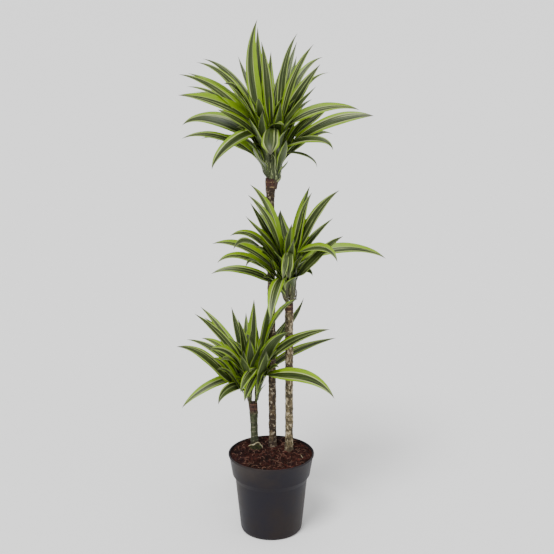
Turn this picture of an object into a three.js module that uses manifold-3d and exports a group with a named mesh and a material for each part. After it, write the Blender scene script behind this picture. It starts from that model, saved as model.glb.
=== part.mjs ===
// A potted dracaena: three bare canes of different lengths in one nursery pot, each with a
// leafy crown of two shoots at its top. Millimetres, +Z up, the viewer stands on the -Y side.
// The origin is the centre of the pot's flat base.

import * as THREE from 'three';
import { mergeVertices } from 'three/addons/utils/BufferGeometryUtils.js';
import Module from 'manifold-3d';

const wasm = await Module();
wasm.setup();

// ---------------------------------------------------------------- driving dimensions

const GAP = 0.3;

const POT_HEIGHT = 228;
const RIM_RADIUS = 120;
const RIM_HEIGHT = 5;
const COLLAR_TOP_RADIUS = 118;
const COLLAR_FOOT_RADIUS = 109;
const COLLAR_HEIGHT = 60;
const SHOULDER_HEIGHT = 14;
const BODY_TOP_RADIUS = 101;
const BODY_FOOT_RADIUS = 87;
const BASE_RADIUS = 80;
const BEVEL_HEIGHT = 9;
const WALL = 2.4;
const POT_SIDES = 40;
const DRAIN_RADIUS = 7;
const DRAIN_RING = 52;
const DRAIN_COUNT = 6;

const SOIL_EDGE = 223;
const SOIL_DOME = 4;
const SOIL_RELIEF = 1.8;
const SOIL_RINGS = 5;
const SOIL_SIDES = 30;

const CANE_BURIED = 140;
const CANE_SIDES = 8;
const CANE_RING_STEP = 40;
const CANE_RING_RISE = 0.5;
const CANE_RING_HOLLOW = 0.3;
const CANE_FLARE = 1.6;
const CANE_FLARE_HEIGHT = 25;
const TOP_FLARE_DEPTHS = [60, 12];
const CROWN_HOLE_DEPTH = 80;
const ROOM_SIDES = 16;

const SHOOT_FOOT_RADIUS = 8.5;
const SHOOT_BELLY_RADIUS = 13;
const SHOOT_TIP_RADIUS = 7;
const SHOOT_BELLY_AT = 0.4;
const SHOOT_STATIONS = [0, 0.16, 0.4, 0.7, 1];
const SHOOT_SIDES = 8;
const SHOOT_KNUCKLE_SPAN = [-0.02, 0.16];
const SHOOT_BEND_TOP = 0.2;
const KNOT_RIM = 2.5;
const KNOT_HEIGHT = 16;

const LEAF_THICKNESS = 1.6;
const LEAF_STATIONS = 5;
const LEAF_ROOT_DEPTH = 0.5;
const ROOT_WIDTH_SHARE = 0.34;
const WIDTH_GROWS_FROM = 0.05;
const WIDEST_AT = 0.45;
const TIP_FINENESS = 1.15;
const RIB_HANDLES = [0.3, 0.34];
const FACE_TURNS = [0.02, 0.35];
const ROOT_CURL = 70;
const BLADE_CURL = 20;
const BLADE_OPENS_BY = 0.4;
const HANGING_LIFT = -65;
const HANGING_ROOT_CURL = 30;
const HANGING_CURL = -60;
const HANGING_OPENS_BY = 0.2;
const SWAY = 9;
const GOLDEN_TURN = 0.618034;

// The leaves that a rule adds at a crown's back. The arc on each side of the back that they
// spread over, their lift and their length go from the oldest leaf to the youngest. A leaf
// that reaches to the side is shorter by sideCut, and the lift and the spread vary by their
// play. A leaf's start lift and its place on the shoot follow from how far its lift has risen
// between the two lifts of the risen pair, and its tip points lower by tipDroop.
const ADDED = {
  arc: [25, 110],
  lift: [-5, 70],
  length: [235, 160],
  width: [26, 32],
  sideCut: 0.25,
  liftPlay: 8,
  spreadPlay: 0.1,
  risen: [-20, 70],
  startLift: [52, 82],
  place: [0.25, 0.8],
  tipDroop: 35,
};

const COLOURS = { pot: 0x2b2a2c, soil: 0x4a2a20, cane: 0x7c6a52, leaf: 0x6f9a2e };

// Leaves placed by hand, shoot by shoot. A row is the tip of one leaf from the heart of its
// crown (right, back, up), the leaf's lift where it leaves its shoot and at its tip in
// degrees, its greatest width, how far its face is turned to the viewer in degrees, and its
// place on the shoot, from 0 at the foot to 1 at the top. A ninth number is the share of its
// length where it is widest, if that isn't the usual one.
const SHORT_LEFT = [
  [-155, 100, 180, 74, 26, 27, 25, 0.75],
  [-165, 0, 190, 75, 34, 29, 40, 0.8],
  [-145, 110, 145, 72, 17, 25, 15, 0.7],
  [-65, 80, 185, 79, 72, 27, 10, 0.8],
  [-45, 30, 165, 82, 66, 27, 10, 0.8],
  [-195, 90, 85, 66, -4, 27, 25, 0.55],
  [-145, -20, 125, 72, 6, 32, 45, 0.7],
  [-205, -110, 130, 32, 8, 42, 50, 0.4],
  [-120, -120, 125, 71, 0, 40, 50, 0.7],
  [-85, -150, 105, 69, 0, 29, 40, 0.65],
  [-200, -50, -70, 58, -54, 29, 45, 0.65],
  [-95, -110, -35, 54, -62, 29, 45, 0.5],
  [0, 40, 220, 82, 85, 34, 0, 0.8],
  [-25, 110, 160, 77, 75, 27, 0, 0.8],
  [-115, -60, 80, 38, 8, 32, 45, 0.4],
  [-100, -95, 60, 28, -2, 29, 45, 0.3],
];
const SHORT_RIGHT = [
  [45, -50, 250, 82, 80, 34, 0, 0.8],
  [120, -115, 265, 78, 25, 42, 50, 0.8],
  [140, 90, 210, 76, 75, 29, 10, 0.8],
  [100, -90, 165, 84, 20, 40, -45, 0.45],
  [95, 75, 155, 76, 55, 21, 20, 0.8],
  [205, -130, 185, 71, 15, 38, 50, 0.7],
  [235, 120, 80, 64, 0, 32, 20, 0.55],
  [215, -195, 15, 20, -44, 40, 55, 0.7],
  [-35, -110, 0, 12, -48, 26, 30, 0.9],
  [-25, -90, -35, 5, -55, 25, 25, 0.75],
];
const MIDDLE_LEFT = [
  [-95, -20, 225, 81, 38, 35, 58, 0.8],
  [-100, -60, 205, 79, 40, 36, 60, 0.8],
  [-95, -10, 175, 79, 60, 29, 50, 0.8],
  [-80, -110, 190, 77, 53, 32, 45, 0.8],
  [-105, -110, 160, 74, 50, 34, 55, 0.75],
  [-145, -100, 105, 69, -25, 34, 50, 0.65],
  [-195, -40, 70, 65, -14, 32, 45, 0.55],
  [-135, -150, 80, 66, -50, 32, 35, 0.55],
  [-180, -90, 30, 61, -42, 29, 45, 0.45],
  [-200, -30, -15, 57, -32, 29, 45, 0.3],
  [-105, -120, 25, 61, -60, 23, 20, 0.25],
  [45, 20, 170, 82, 84, 29, 10, 0.8],
  [145, -125, 110, 38, 31, 48, 50, 0.45],
  [-10, -205, 15, 62, -80, 21, 0, 0.85, 0.75],
  [-40, -150, -110, 32, -64, 36, 0, 0.55],
  [-80, -60, 70, 60, 20, 40, 30, 0.35],
  [-75, -100, 100, 58, 35, 36, 45, 0.35],
];
const MIDDLE_RIGHT = [
  [65, 70, 205, 80, 52, 29, 30, 0.8],
  [70, 30, 195, 81, 47, 29, 40, 0.8],
  [55, 110, 175, 77, 90, 32, 0, 0.8],
  [140, -20, 210, 77, 36, 40, 48, 0.8],
  [130, 80, 115, 71, 28, 23, 20, 0.7],
  [270, 20, 15, 66, -40, 34, 45, 0.7],
  [130, -140, 45, 50, -62, 28, 45, 0.95],
  [70, -50, -15, 25, -56, 16, 45, 0.7],
  [5, -170, 10, 70, -76, 38, 0, 0.95, 0.7],
  [-15, 70, 140, 80, 80, 44, 0, 0.9],
  [15, -40, 125, 82, 80, 29, 10, 0.75],
];
const TALL_LEFT = [
  [-35, 15, 310, 84, 112, 37, 62, 0.8],
  [-35, 75, 290, 82, 85, 29, 0, 0.8],
  [-90, 140, 210, 76, 60, 21, 20, 0.8],
  [-185, 100, 205, 74, 8, 27, 30, 0.75],
  [-195, 20, 200, 74, 5, 29, 40, 0.75],
  [-115, -160, 160, 72, 0, 40, 55, 0.7],
  [-220, 50, 170, 71, 12, 35, 35, 0.7],
  [-235, -60, 175, 70, 8, 35, 45, 0.65],
  [-230, 110, 130, 68, -2, 25, 25, 0.6],
  [-215, 160, 110, 66, -8, 25, 15, 0.6],
  [-235, -90, 125, 60, 0, 42, 55, 0.85],
  [-95, -130, 165, 74, 35, 29, 45, 0.75],
  [-120, -60, 140, 74, 20, 25, 30, 0.75],
  [-240, 70, 30, 62, -42, 46, 50, 0.6],
  [-130, -190, 100, 67, 20, 40, 55, 0.6],
  [-235, -20, 5, 59, -27, 29, 40, 0.3],
  [-195, 130, -15, 58, -20, 27, 30, 0.35],
  [-150, -120, -60, 66, -84, 36, 55, 0.85],
  [-155, 175, -30, 56, -40, 27, 10, 0.35],
  [35, -190, 60, 65, -10, 25, 20, 0.7],
  [-60, -110, 140, 75, 58, 32, 35, 0.75],
  [-30, -175, 125, 71, 15, 32, 10, 0.6],
];
const TALL_RIGHT = [
  [-25, 20, 255, 82, 76, 33, 35, 0.8],
  [0, 95, 225, 81, 80, 27, 0, 0.8],
  [70, 40, 275, 82, 52, 25, 25, 0.8],
  [70, 110, 250, 79, 52, 23, 20, 0.8],
  [70, 160, 210, 75, 60, 27, 0, 0.8],
  [110, -40, 250, 80, 50, 42, 50, 0.8],
  [140, 90, 210, 76, 10, 27, 30, 0.8],
  [80, -10, 190, 81, 48, 29, 35, 0.8],
  [130, 30, 195, 77, 50, 38, 45, 0.8],
  [160, 140, 165, 71, -2, 23, 10, 0.7],
  [115, -110, 150, 73, 45, 40, 50, 0.75],
  [235, 30, 75, 70, -24, 34, 45, 0.85],
  [265, -60, 70, 64, -4, 38, 52, 0.45, 0.68],
  [160, 110, 80, 66, 32, 29, 35, 0.6],
  [170, 110, 0, 59, -28, 27, 30, 0.35],
  [160, -90, -15, 66, -80, 29, 45, 0.6],
  [120, -60, -65, 76, -86, 12, 30, 0.5],
  [0, -205, -10, 64, -78, 55, 0, 0.85, 0.78],
  [85, -150, 105, 69, 30, 42, 45, 0.55],
  [85, -90, 105, 72, 40, 29, 45, 0.6],
  [90, 110, 125, 72, 40, 34, 20, 0.6],
  [110, -60, 65, 68, 10, 36, 50, 0.45],
];

// Each plant: the foot of its cane on the soil, the cane's top and radius, how much it widens
// to its top, the heart that its leaves spread from, its shoots, how many leaves the rule adds
// to each leafy shoot at the crown's back, and the compass angles (0 is +X, 90 is the back) of
// canes that those leaves pass. A shoot has a straight axis from foot to top that starts at
// its root on the cane, a girth, and the share of that girth that it has at its root; one
// shoot is a leafless stub between the two others.
const PLANTS = {
  short: {
    foot: [-47, 53],
    top: [-51, 58, 354],
    caneRadius: 10.3,
    topFlare: 1.6,
    heart: [-48, 55, 427],
    shoots: [
      {
        foot: [-60, 57, 343], top: [-66, 52, 450], root: [-60, 55, 335],
        girth: 0.55, knuckle: 0.8, leaves: SHORT_LEFT,
      },
      {
        foot: [-43, 58, 346], top: [-33, 44, 475], root: [-46, 57, 346],
        girth: 0.5, knuckle: 0.75, leaves: SHORT_RIGHT,
      },
    ],
    added: 5,
    neighbours: [5],
  },
  middle: {
    foot: [50, 18],
    top: [49, 25, 655],
    caneRadius: 11,
    topFlare: 0.6,
    heart: [40, 15, 762],
    shoots: [
      {
        foot: [41, 20, 648], top: [34, 12, 790], root: [45, 22, 645],
        girth: 0.72, knuckle: 0.42, leaves: MIDDLE_LEFT,
      },
      {
        foot: [58, 23, 648], top: [52, 16, 790], root: [54, 23, 643],
        girth: 0.8, knuckle: 0.42, leaves: MIDDLE_RIGHT,
      },
    ],
    added: 4,
    neighbours: [137],
  },
  tall: {
    foot: [4, 45],
    top: [-2, 50, 994],
    caneRadius: 10.6,
    topFlare: 2.8,
    heart: [0, 52, 1096],
    shoots: [
      {
        foot: [-10, 49, 988], top: [-13, 48, 1125], root: [-5, 47, 984],
        girth: 1, knuckle: 0.42, leaves: TALL_LEFT,
      },
      {
        foot: [16, 49, 976], top: [13, 52, 1125], root: [6, 47, 966],
        girth: 1, knuckle: 0.75, leaves: TALL_RIGHT,
      },
      {
        foot: [2, 50, 975], top: [2, 50, 1075], root: [0, 50, 975],
        girth: 0.85, knuckle: 0.42, leaves: [],
      },
    ],
    added: 6,
    neighbours: [],
  },
};
const NEIGHBOUR_CLEARANCE = 34;
const BACK = 90;
const FIRST_SEED = 1001;
const SEED_STEP = 17;

// ---------------------------------------------------------------- small helpers

const { degToRad, lerp, smoothstep, clamp } = THREE.MathUtils;
const vector = (point) => new THREE.Vector3(...point);
const fromAngle = (angle) => new THREE.Vector3(Math.cos(angle), Math.sin(angle), 0);

// A repeatable draw between 0 and 1: the same seed always gives the same plant.
function makeDraw(seed) {
  let state = seed;
  return () => {
    state = (state * 16807) % 2147483647;
    return state / 2147483647;
  };
}

// A closed mesh as a solid.
function solidOf(geometry) {
  const bare = geometry.clone();
  bare.deleteAttribute('normal');
  bare.deleteAttribute('uv');
  const merged = mergeVertices(bare, 1e-4);
  return new wasm.Manifold(new wasm.Mesh({
    numProp: 3,
    vertProperties: new Float32Array(merged.attributes.position.array),
    triVerts: new Uint32Array(merged.index.array),
  }));
}

// A solid as a mesh geometry.
function geometryOf(solid) {
  const mesh = solid.getMesh();
  const geometry = new THREE.BufferGeometry();
  geometry.setAttribute('position', new THREE.BufferAttribute(mesh.vertProperties, 3));
  geometry.setIndex(new THREE.BufferAttribute(mesh.triVerts, 1));
  return geometry;
}

// The largest body of a solid, without loose scraps or sealed hollows.
function largestBody(solid) {
  return solid.decompose().reduce((best, body) => (body.volume() > best.volume() ? body : best));
}

// A closed skin over rings of points, each ring turning the same way about the path. Ends
// are closed with a fan; a ring of one point closes to a tip. The diagonals all run the
// same way, so the two faces of a thin blade stay alike.
function loft(rings) {
  const positions = [];
  const faces = [];
  const starts = rings.map((ring) => {
    const start = positions.length / 3;
    ring.forEach((point) => positions.push(point.x, point.y, point.z));
    return start;
  });
  const sides = rings[0].length;
  for (let i = 0; i < rings.length - 1; i += 1) {
    for (let j = 0; j < sides; j += 1) {
      const next = (j + 1) % sides;
      const a = starts[i] + j;
      const b = starts[i] + next;
      if (rings[i + 1].length === 1) {
        faces.push(a, b, starts[i + 1]);
      } else {
        const c = starts[i + 1] + next;
        const d = starts[i + 1] + j;
        if (j < sides / 2) faces.push(a, b, c, a, c, d);
        else faces.push(a, b, d, b, c, d);
      }
    }
  }
  for (let j = 1; j < sides - 1; j += 1) faces.push(starts[0], starts[0] + j + 1, starts[0] + j);
  const last = starts[rings.length - 1];
  if (rings[rings.length - 1].length > 1) {
    for (let j = 1; j < sides - 1; j += 1) faces.push(last, last + j, last + j + 1);
  }
  const geometry = new THREE.BufferGeometry();
  geometry.setAttribute('position', new THREE.Float32BufferAttribute(positions, 3));
  geometry.setIndex(faces);
  return geometry;
}

// A level ring of points about a centre.
function levelRing(centre, radius, sides) {
  return Array.from({ length: sides }, (_, j) => (
    fromAngle((2 * Math.PI * j) / sides).multiplyScalar(radius).add(centre)
  ));
}

// ---------------------------------------------------------------- pot

const collarFoot = POT_HEIGHT - COLLAR_HEIGHT;
const shoulderFoot = collarFoot - SHOULDER_HEIGHT;

// The pot's inner radius at a height, which the soil fills.
function innerRadius(height) {
  if (height < shoulderFoot) {
    return lerp(BODY_FOOT_RADIUS, BODY_TOP_RADIUS, height / shoulderFoot) - WALL;
  }
  if (height < collarFoot) {
    const along = (height - shoulderFoot) / SHOULDER_HEIGHT;
    return lerp(BODY_TOP_RADIUS, COLLAR_FOOT_RADIUS, along) - WALL;
  }
  const along = (height - collarFoot) / COLLAR_HEIGHT;
  return lerp(COLLAR_FOOT_RADIUS, COLLAR_TOP_RADIUS, along) - WALL;
}

function makePot() {
  const inside = [POT_HEIGHT, collarFoot, shoulderFoot, BEVEL_HEIGHT + WALL, WALL];
  const profile = [
    [0, 0],
    [BASE_RADIUS, 0],
    [BASE_RADIUS + 5, BEVEL_HEIGHT * 0.4],
    [BODY_FOOT_RADIUS, BEVEL_HEIGHT],
    [BODY_TOP_RADIUS, shoulderFoot],
    [COLLAR_FOOT_RADIUS, collarFoot],
    [COLLAR_TOP_RADIUS, POT_HEIGHT - RIM_HEIGHT],
    [RIM_RADIUS, POT_HEIGHT - RIM_HEIGHT + 1],
    [RIM_RADIUS, POT_HEIGHT - 1],
    [RIM_RADIUS - 1, POT_HEIGHT],
    ...inside.slice(0, 4).map((height) => [innerRadius(height), height]),
    [BASE_RADIUS - WALL, WALL],
    [0, WALL],
  ].map(([x, y]) => new THREE.Vector2(x, y));
  const shell = new THREE.LatheGeometry(profile, POT_SIDES);
  shell.rotateX(Math.PI / 2);
  let pot = solidOf(shell);
  for (let i = 0; i < DRAIN_COUNT; i += 1) {
    const drain = new THREE.CylinderGeometry(DRAIN_RADIUS, DRAIN_RADIUS, WALL * 4, 12);
    drain.rotateX(Math.PI / 2);
    const centre = fromAngle((2 * Math.PI * i) / DRAIN_COUNT).multiplyScalar(DRAIN_RING);
    drain.translate(centre.x, centre.y, WALL / 2);
    pot = pot.subtract(solidOf(drain));
  }
  return geometryOf(pot);
}

// ---------------------------------------------------------------- canes

// The centre of a cane at a height: upright in the soil, leaning evenly above it.
function caneCentre(plant, height) {
  const along = clamp((height - SOIL_EDGE) / (plant.top[2] - SOIL_EDGE), 0, 1);
  const x = lerp(plant.foot[0], plant.top[0], along);
  const y = lerp(plant.foot[1], plant.top[1], along);
  return new THREE.Vector3(x, y, height);
}

// How much a cane is wider than its plain radius at a height: at the soil and at its top.
function caneFlare(plant, height) {
  const atSoil = CANE_FLARE * Math.exp(-(((height - SOIL_EDGE) / CANE_FLARE_HEIGHT) ** 2));
  const [start, end] = TOP_FLARE_DEPTHS.map((depth) => plant.top[2] - depth);
  return atSoil + plant.topFlare * smoothstep(height, start, end);
}

// A cane from its buried foot to its cut top, with a low ring at every leaf scar.
function makeCane(plant) {
  const foot = SOIL_EDGE - CANE_BURIED;
  const count = Math.round((plant.top[2] - foot) / CANE_RING_STEP);
  const rings = [];
  for (let i = 0; i <= count; i += 1) {
    const height = lerp(foot, plant.top[2], i / count);
    const radius = plant.caneRadius + caneFlare(plant, height);
    rings.push(levelRing(caneCentre(plant, height), radius + CANE_RING_RISE, CANE_SIDES));
    if (i < count) {
      const between = height + CANE_RING_STEP * CANE_RING_HOLLOW;
      rings.push(levelRing(caneCentre(plant, between), radius, CANE_SIDES));
    }
  }
  return loft(rings);
}

// The room a cane takes between some heights, a little wider than the cane.
function caneRoom(plant, heights, flare) {
  const widest = plant.caneRadius + CANE_RING_RISE + flare + GAP;
  const radius = widest / Math.cos(Math.PI / ROOM_SIDES);
  return solidOf(loft(heights.map((height) => (
    levelRing(caneCentre(plant, height), radius, ROOM_SIDES)
  ))));
}

// ---------------------------------------------------------------- soil

// The height of the soil at a place: a low dome with soft lumps, which fade to the wall.
function soilHeight(radius, angle) {
  const edge = innerRadius(SOIL_EDGE);
  const dome = SOIL_DOME * (1 - (radius / edge) ** 2);
  const lumps = Math.sin(radius * 0.21 + 3 * angle) * Math.sin(7 * angle - radius * 0.09)
    + 0.6 * Math.sin(11 * angle + radius * 0.33);
  return SOIL_EDGE + dome + SOIL_RELIEF * lumps * Math.min(1, (edge - radius) / 12 + 0.3);
}

// The soil fills the pot from its floor to a lumpy dome, with a plain hole for each cane.
function makeSoil() {
  const levels = [WALL, BEVEL_HEIGHT + WALL, shoulderFoot, collarFoot];
  const rings = levels.map((height, i) => {
    const radius = (i === 0 ? BASE_RADIUS - WALL : innerRadius(height)) - GAP * 1.5;
    return levelRing(new THREE.Vector3(0, 0, height + (i === 0 ? GAP : 0)), radius, SOIL_SIDES);
  });
  for (let i = SOIL_RINGS; i > 0; i -= 1) {
    const radius = ((innerRadius(SOIL_EDGE) - GAP * 2) * i) / SOIL_RINGS;
    rings.push(Array.from({ length: SOIL_SIDES }, (_, j) => {
      const angle = (2 * Math.PI * j) / SOIL_SIDES;
      return fromAngle(angle).multiplyScalar(radius).setZ(soilHeight(radius, angle));
    }));
  }
  rings.push([new THREE.Vector3(0, 0, SOIL_EDGE + SOIL_DOME)]);
  let soil = solidOf(loft(rings));
  for (const plant of Object.values(PLANTS)) {
    const heights = [SOIL_EDGE - CANE_BURIED - GAP, SOIL_EDGE, SOIL_EDGE + 60];
    soil = soil.subtract(caneRoom(plant, heights, CANE_FLARE));
  }
  return geometryOf(soil);
}

// ---------------------------------------------------------------- leaves

// The share of its greatest width that a leaf has along its length: narrow at the root,
// widest at a given share, then a long fine point.
function widthShare(along, widestAt) {
  const grown = lerp(ROOT_WIDTH_SHARE, 1, smoothstep(along, WIDTH_GROWS_FROM, widestAt));
  const past = clamp((along - widestAt) / (1 - widestAt), 0, 1);
  return grown * (1 - past) ** TIP_FINENESS * (1 + TIP_FINENESS * past);
}

// One leaf from its root on a shoot to its tip. Its section is a shallow gutter of four
// points: left edge, upper rib, right edge and lower rib. Its edges rise over the rib, and
// sink below it on a leaf that hangs straight down.
function leafSolid(leaf) {
  const { root, tip, outward, startLift, tipLift, width, turn, widestAt, sway } = leaf;
  const up = new THREE.Vector3(0, 0, 1);
  const reach = tip.clone().sub(root);
  const span = reach.length();
  const heading = reach.setZ(0).normalize();
  const leaving = outward.clone().multiplyScalar(Math.cos(startLift))
    .addScaledVector(up, Math.sin(startLift));
  const arriving = heading.clone().multiplyScalar(Math.cos(tipLift))
    .addScaledVector(up, Math.sin(tipLift));
  const across = heading.clone().cross(up);
  const rib = new THREE.CubicBezierCurve3(
    root,
    root.clone().addScaledVector(leaving, RIB_HANDLES[0] * span).addScaledVector(across, sway),
    tip.clone().addScaledVector(arriving, -RIB_HANDLES[1] * span).addScaledVector(across, sway),
    tip,
  );
  const hangs = tipLift < degToRad(HANGING_LIFT);
  const [rootCurl, openCurl, opensBy] = hangs
    ? [HANGING_ROOT_CURL, HANGING_CURL, HANGING_OPENS_BY]
    : [ROOT_CURL, BLADE_CURL, BLADE_OPENS_BY];
  const towardViewer = across.y < 0 ? 1 : -1;
  const rings = [];
  for (let i = 0; i < LEAF_STATIONS; i += 1) {
    const along = i / LEAF_STATIONS;
    const point = rib.getPoint(along);
    const tangent = rib.getTangent(along);
    const side = across.clone().addScaledVector(tangent, -across.dot(tangent)).normalize();
    const face = side.clone().cross(tangent);
    const roll = turn * towardViewer * smoothstep(along, ...FACE_TURNS);
    side.applyAxisAngle(tangent, -roll);
    face.applyAxisAngle(tangent, -roll);
    const curl = degToRad(lerp(rootCurl, openCurl, smoothstep(along, 0, opensBy)));
    const half = (width / 2) * widthShare(along, widestAt);
    const reachOut = (half * Math.sin(curl)) / curl;
    const rise = (half * (1 - Math.cos(curl))) / curl;
    const edge = (sign) => point.clone()
      .addScaledVector(side, sign * reachOut).addScaledVector(face, rise);
    const middle = (sign) => point.clone().addScaledVector(face, (sign * LEAF_THICKNESS) / 2);
    rings.push([edge(-1), middle(1), edge(1), middle(-1)]);
  }
  rings.push([tip]);
  return solidOf(loft(rings));
}

// The radius of a shoot along its height: narrow at its root on the cane, then swollen where
// the leaf sheaths wrap it.
function shootRadius(shoot, along) {
  const belly = smoothstep(along, 0, SHOOT_BELLY_AT) - smoothstep(along, SHOOT_BELLY_AT, 1);
  const ends = lerp(SHOOT_FOOT_RADIUS, SHOOT_TIP_RADIUS, along);
  const knuckle = lerp(shoot.knuckle, 1, smoothstep(along, ...SHOOT_KNUCKLE_SPAN));
  return shoot.girth * lerp(ends, SHOOT_BELLY_RADIUS, belly) * knuckle;
}

// The centre of a shoot along its height.
function shootCentre(shoot, along) {
  const foot = vector(shoot.foot);
  const aside = vector(shoot.root).sub(foot);
  const bend = 1 - smoothstep(along, 0, SHOOT_BEND_TOP);
  return foot.lerp(vector(shoot.top), along).addScaledVector(aside, bend);
}

// A leaf from its place on a shoot to its tip.
function leafToTip(shoot, tip, shape) {
  const axis = shootCentre(shoot, shape.place);
  const outward = tip.clone().sub(axis).setZ(0).normalize();
  const rootOut = LEAF_ROOT_DEPTH * shootRadius(shoot, shape.place);
  return leafSolid({
    root: axis.clone().addScaledVector(outward, rootOut),
    tip,
    outward,
    startLift: degToRad(shape.startLift),
    tipLift: degToRad(shape.tipLift),
    width: shape.width,
    turn: degToRad(shape.turn),
    widestAt: shape.widestAt,
    sway: shape.sway,
  });
}

// The leaves that the rule adds on one shoot: spread over the crown's back by the golden
// turn, the oldest low and drooping and the youngest upright.
function addedLeaves(plant, shoot, draw) {
  return Array.from({ length: plant.added }, (_, i) => {
    const youth = i / (plant.added - 1);
    const spread = (i * GOLDEN_TURN + draw() * ADDED.spreadPlay) % 1;
    let compass = BACK + (2 * spread - 1) * lerp(...ADDED.arc, youth);
    for (const neighbour of plant.neighbours) {
      const off = compass - neighbour;
      if (Math.abs(off) < NEIGHBOUR_CLEARANCE) {
        compass = neighbour + NEIGHBOUR_CLEARANCE * (off < 0 ? -1 : 1);
      }
    }
    const lift = lerp(...ADDED.lift, youth) + ADDED.liftPlay * (draw() - 0.5);
    const aside = Math.abs(Math.cos(degToRad(compass)));
    const length = lerp(...ADDED.length, youth) * (1 - ADDED.sideCut * aside);
    const tip = fromAngle(degToRad(compass)).multiplyScalar(length * Math.cos(degToRad(lift)));
    tip.z = length * Math.sin(degToRad(lift));
    const width = lerp(...ADDED.width, draw());
    const risen = clamp((lift - ADDED.risen[0]) / (ADDED.risen[1] - ADDED.risen[0]), 0, 1);
    const shape = {
      startLift: lerp(...ADDED.startLift, risen),
      tipLift: lift - ADDED.tipDroop,
      width,
      turn: 0,
      place: lerp(...ADDED.place, risen),
      widestAt: WIDEST_AT,
      sway: SWAY * Math.sin(i),
    };
    return leafToTip(shoot, tip.add(vector(plant.heart)), shape);
  });
}

// A shoot: the short stem that its leaves wrap.
function shootSolid(shoot) {
  const rings = SHOOT_STATIONS.map((along) => (
    levelRing(shootCentre(shoot, along), shootRadius(shoot, along), SHOOT_SIDES)
  ));
  return solidOf(loft(rings));
}

// The leaves of a crown: first the rows of its shoots, each swaying to one side or the other
// by its tip, then the added ones.
function crownLeaves(plant, draw) {
  const leaves = [];
  for (const shoot of plant.shoots) {
    for (const row of shoot.leaves) {
      const [right, back, rise, startLift, tipLift, width, turn, place, widestAt = WIDEST_AT] = row;
      const tip = vector(plant.heart).add(new THREE.Vector3(right, back, rise));
      const sway = SWAY * Math.sin(right + rise);
      const shape = { startLift, tipLift, width, turn, place, widestAt, sway };
      leaves.push(leafToTip(shoot, tip, shape));
    }
  }
  for (const shoot of plant.shoots.filter(({ leaves: rows }) => rows.length > 0)) {
    leaves.push(...addedLeaves(plant, shoot, draw));
  }
  return leaves;
}

// A crown: its shoots, the knot that joins them over the cane's cut top, and every leaf, as
// one body.
function makeCrown(plant, seed) {
  const solids = plant.shoots.map(shootSolid);
  solids.push(...crownLeaves(plant, makeDraw(seed)));
  const caneTop = plant.top[2];
  const knotRadius = plant.caneRadius + plant.topFlare + KNOT_RIM;
  const knot = [caneTop, caneTop + KNOT_HEIGHT].map((height) => (
    levelRing(vector(plant.top).setZ(height), knotRadius, SHOOT_SIDES)
  ));
  solids.push(solidOf(loft(knot)));
  const heights = [caneTop - CROWN_HOLE_DEPTH, caneTop + GAP];
  const clasped = wasm.Manifold.union(solids).subtract(caneRoom(plant, heights, plant.topFlare));
  return geometryOf(largestBody(clasped));
}

// ---------------------------------------------------------------- the whole plant

const matte = (colour, roughness) => (
  new THREE.MeshStandardMaterial({ color: colour, roughness, metalness: 0 })
);
const root = new THREE.Group();

function addNode(name, geometry, material) {
  const mesh = new THREE.Mesh(geometry, material);
  mesh.name = name;
  root.add(mesh);
}

addNode('pot', makePot(), matte(COLOURS.pot, 0.5));
addNode('soil', makeSoil(), matte(COLOURS.soil, 0.95));
Object.entries(PLANTS).forEach(([name, plant], i) => {
  addNode(`cane_${name}`, makeCane(plant), matte(COLOURS.cane, 0.85));
  addNode(`crown_${name}`, makeCrown(plant, FIRST_SEED + SEED_STEP * i), matte(COLOURS.leaf, 0.45));
});

export default root;
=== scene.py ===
"""A potted dracaena: three bare canes of different lengths in one nursery pot, each with a
leafy crown of two shoots at its top. Sizes are in millimetres, +Z is up and the viewer
stands on the -Y side."""

import logging
import math
from collections.abc import Iterable, Mapping, Sequence
from dataclasses import dataclass
from enum import Enum
from itertools import combinations, pairwise, product

import bpy
import numpy as np
from mathutils import Euler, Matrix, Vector, noise


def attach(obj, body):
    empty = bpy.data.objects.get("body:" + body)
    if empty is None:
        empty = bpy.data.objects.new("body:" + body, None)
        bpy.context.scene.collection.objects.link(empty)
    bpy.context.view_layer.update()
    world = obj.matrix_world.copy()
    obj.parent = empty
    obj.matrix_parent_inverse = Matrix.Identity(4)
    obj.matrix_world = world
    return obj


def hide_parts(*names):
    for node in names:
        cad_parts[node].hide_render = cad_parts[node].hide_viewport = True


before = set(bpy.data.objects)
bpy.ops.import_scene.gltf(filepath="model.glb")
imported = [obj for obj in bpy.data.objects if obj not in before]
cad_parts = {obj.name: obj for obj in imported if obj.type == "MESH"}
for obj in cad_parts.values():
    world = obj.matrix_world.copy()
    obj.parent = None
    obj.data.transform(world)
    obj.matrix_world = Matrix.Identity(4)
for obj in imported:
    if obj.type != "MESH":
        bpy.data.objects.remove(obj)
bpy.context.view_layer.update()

log = logging.getLogger("dracaena")

MM = 0.001
UP = np.array([0.0, 0.0, 1.0])
LEVEL = np.array([1.0, 1.0, 0.0])
TURN = 2 * math.pi
SOIL_EDGE = 223
GOLDEN_TURN = 0.618034

# The place along a leaf, below 0, at which its finish shows the sheath.
SHEATH_ALONG = -0.2

Span = tuple[float, float]
Point = tuple[float, float, float]


# ---- small helpers


def smooth(low: float, high: float, value: np.ndarray | float) -> np.ndarray | float:
    """Rises softly from 0 at low to 1 at high."""
    part = np.clip((np.asarray(value, float) - low) / (high - low), 0, 1)
    return part * part * (3 - 2 * part)


def blend(first: float, second: float, share: float) -> float:
    """The number that lies the given share of the way from first to second."""
    return first + (second - first) * share


def unit(vectors: np.ndarray) -> np.ndarray:
    """The vector, or each row of vectors, at length 1."""
    return vectors / np.linalg.norm(vectors, axis=-1, keepdims=True)


def heading(degrees: float) -> np.ndarray:
    """The level direction at a compass angle, where 0 is +X and 90 is the back."""
    return np.array([math.cos(math.radians(degrees)), math.sin(math.radians(degrees)), 0.0])


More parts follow.
